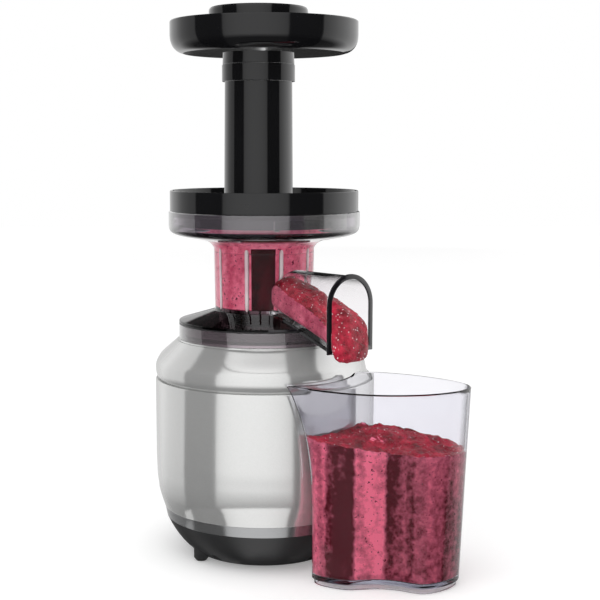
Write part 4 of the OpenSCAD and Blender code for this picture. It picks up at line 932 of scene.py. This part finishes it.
def sorbet(name, light, deep, streak, rough=0.0002, wet=0.0, shade_bands=(), glow=0.0):
    """Frozen fruit: clouds and streaks of two crimsons, dark specks, and a dry or a wet, icy skin.

    Folds are painted light and shade: paler and deeper bands across X for how the jug's folded wall lights
    and darkens the dessert behind it, each a place in metres and a share of the light crimson.
    Glow is painted light: the colour shines by itself, standing in for the light that runs inside clear
    plastic and the ice behind it.
    """
    finish, shader, place = new_finish(name, Subsurface_Weight=0.08, Subsurface_Scale=0.002, Coat_Weight=wet,
                                       Coat_Roughness=0.05, Specular_IOR_Level=0.2 if wet else 0.08,
                                       Emission_Strength=glow, Subsurface_Radius=(1.0, 0.2, 0.25))
    drawn = node(finish, "Mapping", Vector=place, Scale=(1, 1, streak), Location=(0.013, 0.004, 0))
    bands = speckle(finish, drawn.outputs[0], 70)
    clouds = speckle(finish, place, 230, 6.0, 0.62)
    blend = maths(finish, "MULTIPLY_ADD", clouds, 0.45, maths(finish, "MULTIPLY", bands, 0.55))
    # Painted light and shade: bands across X, for the jug's folded wall.
    if shade_bands:
        across = node(finish, "SeparateXYZ", Vector=place).outputs["X"]
        sway = speckle(finish, place, 130, 4.0)
        across = maths(finish, "MULTIPLY_ADD", sway, 0.005, maths(finish, "SUBTRACT", across, 0.0025))
        fold_shade = ramp(finish, ranged(finish, across, 0.0, 1.0, 0.02, 0.14),
                    *[((x - 0.02) / 0.12, share) for x, share in shade_bands])
        blend = maths(finish, "MULTIPLY_ADD", fold_shade, 0.3, maths(finish, "MULTIPLY_ADD", blend, 0.85, -0.075))
    mix = ramp(finish, blend, (0.36, deep), (0.5, [(a + b) / 2 for a, b in zip(light, deep)]), (0.62, light))
    specks = speckle(finish, place, 520, 3.0)
    shade = overlaid(finish, ramp(finish, specks, (0.31, 1.0), (0.35, 0.0)), mix, (0.06, 0.005, 0.013))
    skinned(finish, shader, shade, specks, (0.2, 0.55), speckle(finish, place, 520, 6.0, 0.75), rough)
    # Painted light: the colour glows by itself at the strength glow.
    feed(shader, Emission_Color=shade, Coat_Normal=shader.inputs["Normal"].links[0].from_socket)
    return finish


# Painted light and shade: paler and darker bands across the jug's dessert, for the jug's folded wall.
FOLD_SHADE_BANDS = [(0.027, 0.35), (0.034, 0.4), (0.041, 0.5), (0.0428, 0.1), (0.0575, 0.04), (0.0595, 0.12),
         (0.0617, 0.85), (0.0805, 0.9), (0.083, 0.25), (0.0945, 0.2), (0.096, 0.0), (0.0988, 0.05),
         (0.101, 0.4), (0.113, 0.5), (0.124, 0.25), (0.13, 0.4)]
PINK = (0.9, 0.2, 0.31)
# Painted light: the dessert behind clear plastic glows, most in the neck, whose copy is also lighter than the
# pressed one.
neck_sorbet = sorbet("neck_sorbet", (0.95, 0.25, 0.37), (0.5, 0.06, 0.12), 0.25, glow=0.4)
pressed_sorbet = sorbet("pressed_sorbet", PINK, (0.42, 0.045, 0.1), 0.25, glow=0.1)
folded_sorbet = sorbet("folded_sorbet", PINK, (0.08, 0.005, 0.012), 0.12, shade_bands=FOLD_SHADE_BANDS, glow=0.2)
shaded_sorbet = sorbet("shaded_sorbet", (0.14, 0.008, 0.018), (0.03, 0.003, 0.005), 0.2)
broken_sorbet = sorbet("broken_sorbet", (0.72, 0.025, 0.07), (0.14, 0.002, 0.008), 1.0, 0.0016, 0.12)


def lumps(p, size, height):
    """How far a point of the broken surface stands out."""
    where = Vector(p) / size
    return height * (noise.fractal(where, 0.8, 2.1, 5) + 0.4 * noise.noise(where * 3.7))


neck_fill = [(31.6, 181, 0.3), (33.8, 181, 0.3), (34.4, 221.2, 0.3), (35.6, 222, 0.3), (35.6, 226.2),
             (37.2, 229.2), (42, 232.5), (47, 233.9), (52, 234.9), (50, 236.6), (42, 236), (34, 233),
             (31.6, 228)]
bowl_sorbet = turned("sorbet_in_bowl", neck_fill, neck_sorbet, steps=216, radius=0.3)
refinished(bowl_sorbet, shaded_sorbet, lambda middle, up: middle.z < 225.5 and (
    -105 < math.degrees(math.atan2(middle.y, middle.x)) < -77))
fit(bowl_sorbet, "bowl", "smoky_clear")

RIDGE = [(22, 0, 14, 184.5, 202.5), (30, 0, 16.8, 182.4, 205), (38, 0, 17.4, 179.4, 204),
         (52, 0, 17.5, 174.7, 199.5), (66, 0, 17.5, 169.9, 195.5), (78, 0, 17.5, 165.8, 190.5),
         (86, 0.2, 17.4, 163.1, 186), (92, 0.8, 17.3, 160.9, 180.5), (95.5, 3, 17, 156.2, 174.5),
         (98.5, 4.4, 15.8, 152.8, 169), (101, 5, 12, 152, 164.5), (102.6, 5, 6, 154.4, 160.6)]
ridge_rows = []
for t, s, half, low_z, high_z in faired(RIDGE, 6):
    row = []
    for k in range(96):
        a = 2 * math.pi * k / 96
        c, v = math.cos(a), math.sin(a)
        square = 0.42 if v < 0 else 0.78
        across = math.copysign(abs(c) ** 0.55, c) * half
        rise = (high_z - low_z) / 2
        up = math.copysign(abs(v) ** square, v) * rise
        near = 0.7 * min(1, max(0, (t - 34) / 50))
        side = across / half
        slope = 1 - (0.55 * max(0, -side) + near * max(0, side)) * max(0, v)
        p = Vector(along_chute(t, -(s + across), (low_z + rise) + up * slope))
        top = max(0, v) * min(1, max(0, (t - 26) / 8))
        wild = lumps(p, 5.5, 1.7) * top if t < 92 else lumps(p, 5.0, 1.1)
        row.append(tuple(p + Vector((0, 0, wild))))
    ridge_rows.append(row)
ridge = new_piece("sorbet_on_chute", loft(ridge_rows, closed=False), pressed_sorbet, 180)
refinished(ridge, broken_sorbet, lambda middle, up: up > 0.35 or middle.dot(outward) > 92)
fit(ridge, "bowl", "smoky_clear")


def fill_height(x, y):
    """The height of the dessert's top in the jug."""
    lean = 96 - 0.085 * (x - 85) + 0.05 * (y + 110)
    heap = 5 * math.exp(-(((x - 88) / 26) ** 2 + ((y + 72) / 14) ** 2))
    hollow = -4 * math.exp(-(((x - 78) / 14) ** 2 + ((y + 92) / 9) ** 2))
    return lean + heap + hollow


touch = [inside_of(jug_outline(k / JUG_LEVELS), JUG_WALL - 0.35) for k in range(JUG_LEVELS + 1)]
fill_rows = [inside_of(foot_row, JUG_WALL + 3, z=6.8)]
tops = []
for i in range(len(foot_row)):
    x, y, z = touch[28][i]
    tops.append((fill_height(x, y) + lumps((x, y, 0), 6, 1.2) - 4) / 132 * JUG_LEVELS)
for k in range(25):
    row = []
    for i, top in enumerate(tops):
        level = 1.0 + (top - 1.0) * k / 24
        low_level = int(level)
        a, b = Vector(touch[low_level][i]), Vector(touch[low_level + 1][i])
        row.append(tuple(a.lerp(b, level - low_level)))
    fill_rows.append(row)
edge_row = fill_rows[-1]
heart = Vector((88, -84))
for k in range(1, 30):
    share = 1 - (k / 30) ** 1.15
    row = []
    for x, y, z in edge_row:
        flat = heart + (Vector((x, y)) - heart) * share
        rise = fill_height(flat.x, flat.y) + lumps((flat.x, flat.y, 5), 7, 2.4) * min(1, k / 3)
        row.append((flat.x, flat.y, z + (rise - z) * min(1, k / 4)))
    fill_rows.append(row)
jug_sorbet = new_piece("sorbet_in_jug", loft(fill_rows, closed=False), folded_sorbet, 180)
refinished(jug_sorbet, broken_sorbet, lambda middle, up: up > 0.45 and middle.z > 50)
fit(jug_sorbet, "jug", "jug_clear")


def faces_of(index, *pieces, past=0.0):
    """A mesh of the faces in that finish, from one piece or more, past a radius."""
    shape = bmesh.new()
    for piece in pieces:
        shape.from_mesh(piece.data)
    spare = [f for f in shape.faces if f.material_index != index or f.calc_center_median().xy.length < past]
    bmesh.ops.delete(shape, geom=spare, context="FACES")
    return mesh_of("faces", shape)


sown_tree, given = new_tree("scattered", ("Per square metre", "Float"), ("Length", "Float"), ("Seed", "Int"))
places = node(sown_tree, "GeometryNodeDistributePointsOnFaces", Mesh=given["Geometry"],
              Density=given["Per square metre"], Seed=given["Seed"])
grain = node(sown_tree, "GeometryNodeMeshIcoSphere", Radius=0.5, Subdivisions=1)
drop = node(sown_tree, "GeometryNodeTransform", Geometry=grain.outputs[0], Scale=(1, 0.6, 0.45))
tumbled = node(sown_tree, "FunctionNodeRandomValue", data_type="FLOAT_VECTOR",
               Max=(math.tau, math.tau, math.tau))
unlike = node(sown_tree, "FunctionNodeRandomValue", data_type="FLOAT")
give(unlike.inputs[2], 0.5)
give(unlike.inputs[3], 1.1)
sizes = maths(sown_tree, "MULTIPLY", unlike.outputs[1], given["Length"])
grains = node(sown_tree, "GeometryNodeInstanceOnPoints", Points=places.outputs["Points"],
              Instance=drop.outputs[0], Rotation=tumbled.outputs[0], Scale=sizes)
tree_end(sown_tree, grains.outputs[0], given["Finish"])


def scattered(name, body, slot, source, finish, per_metre, length, seed):
    """Small grains lying all over a mesh, half sunk in it."""
    piece = placed(name, source)
    grown(piece, sown_tree, Per_square_metre=float(per_metre), Length=length, Seed=seed, Finish=finish)
    fit(piece, body, slot)
    return piece


berry_seed = moulded("berry_seed", (0.03, 0.004, 0.012), 0.4, grain=3000, depth=0.00002)
# Pale grains on the broken dessert: partly frost, partly painted highlights standing in for its sparkling
# glints.
ice_crystal = moulded("ice_crystal", (0.9, 0.68, 0.74), 0.08, grain=2500, depth=0.00002, cloud=0.06,
                      Coat_Weight=0.6)
loose = [scattered("seeds_in_press", "bowl", "smoky_clear", faces_of(0, bowl_sorbet, ridge, past=0.0335),
                   berry_seed, 9000, 0.0011, 3),
         scattered("ice_on_chute", "bowl", "smoky_clear", faces_of(1, ridge), ice_crystal, 30000, 0.0015, 5),
         scattered("seeds_in_jug", "jug", "jug_clear", faces_of(0, jug_sorbet), berry_seed, 6000, 0.0013, 7),
         scattered("ice_in_jug", "jug", "jug_clear", faces_of(1, jug_sorbet), ice_crystal, 12000, 0.0014, 11)]
for piece in (bowl, chamber, ribs, foot_ring, teeth, lid, lid_mark, tube, tray, knob, stem, bowl_sorbet,
              ridge, *loose):
    piece.visible_glossy = False
for piece in (bowl, chamber, ribs, jug):
    piece.visible_shadow = False
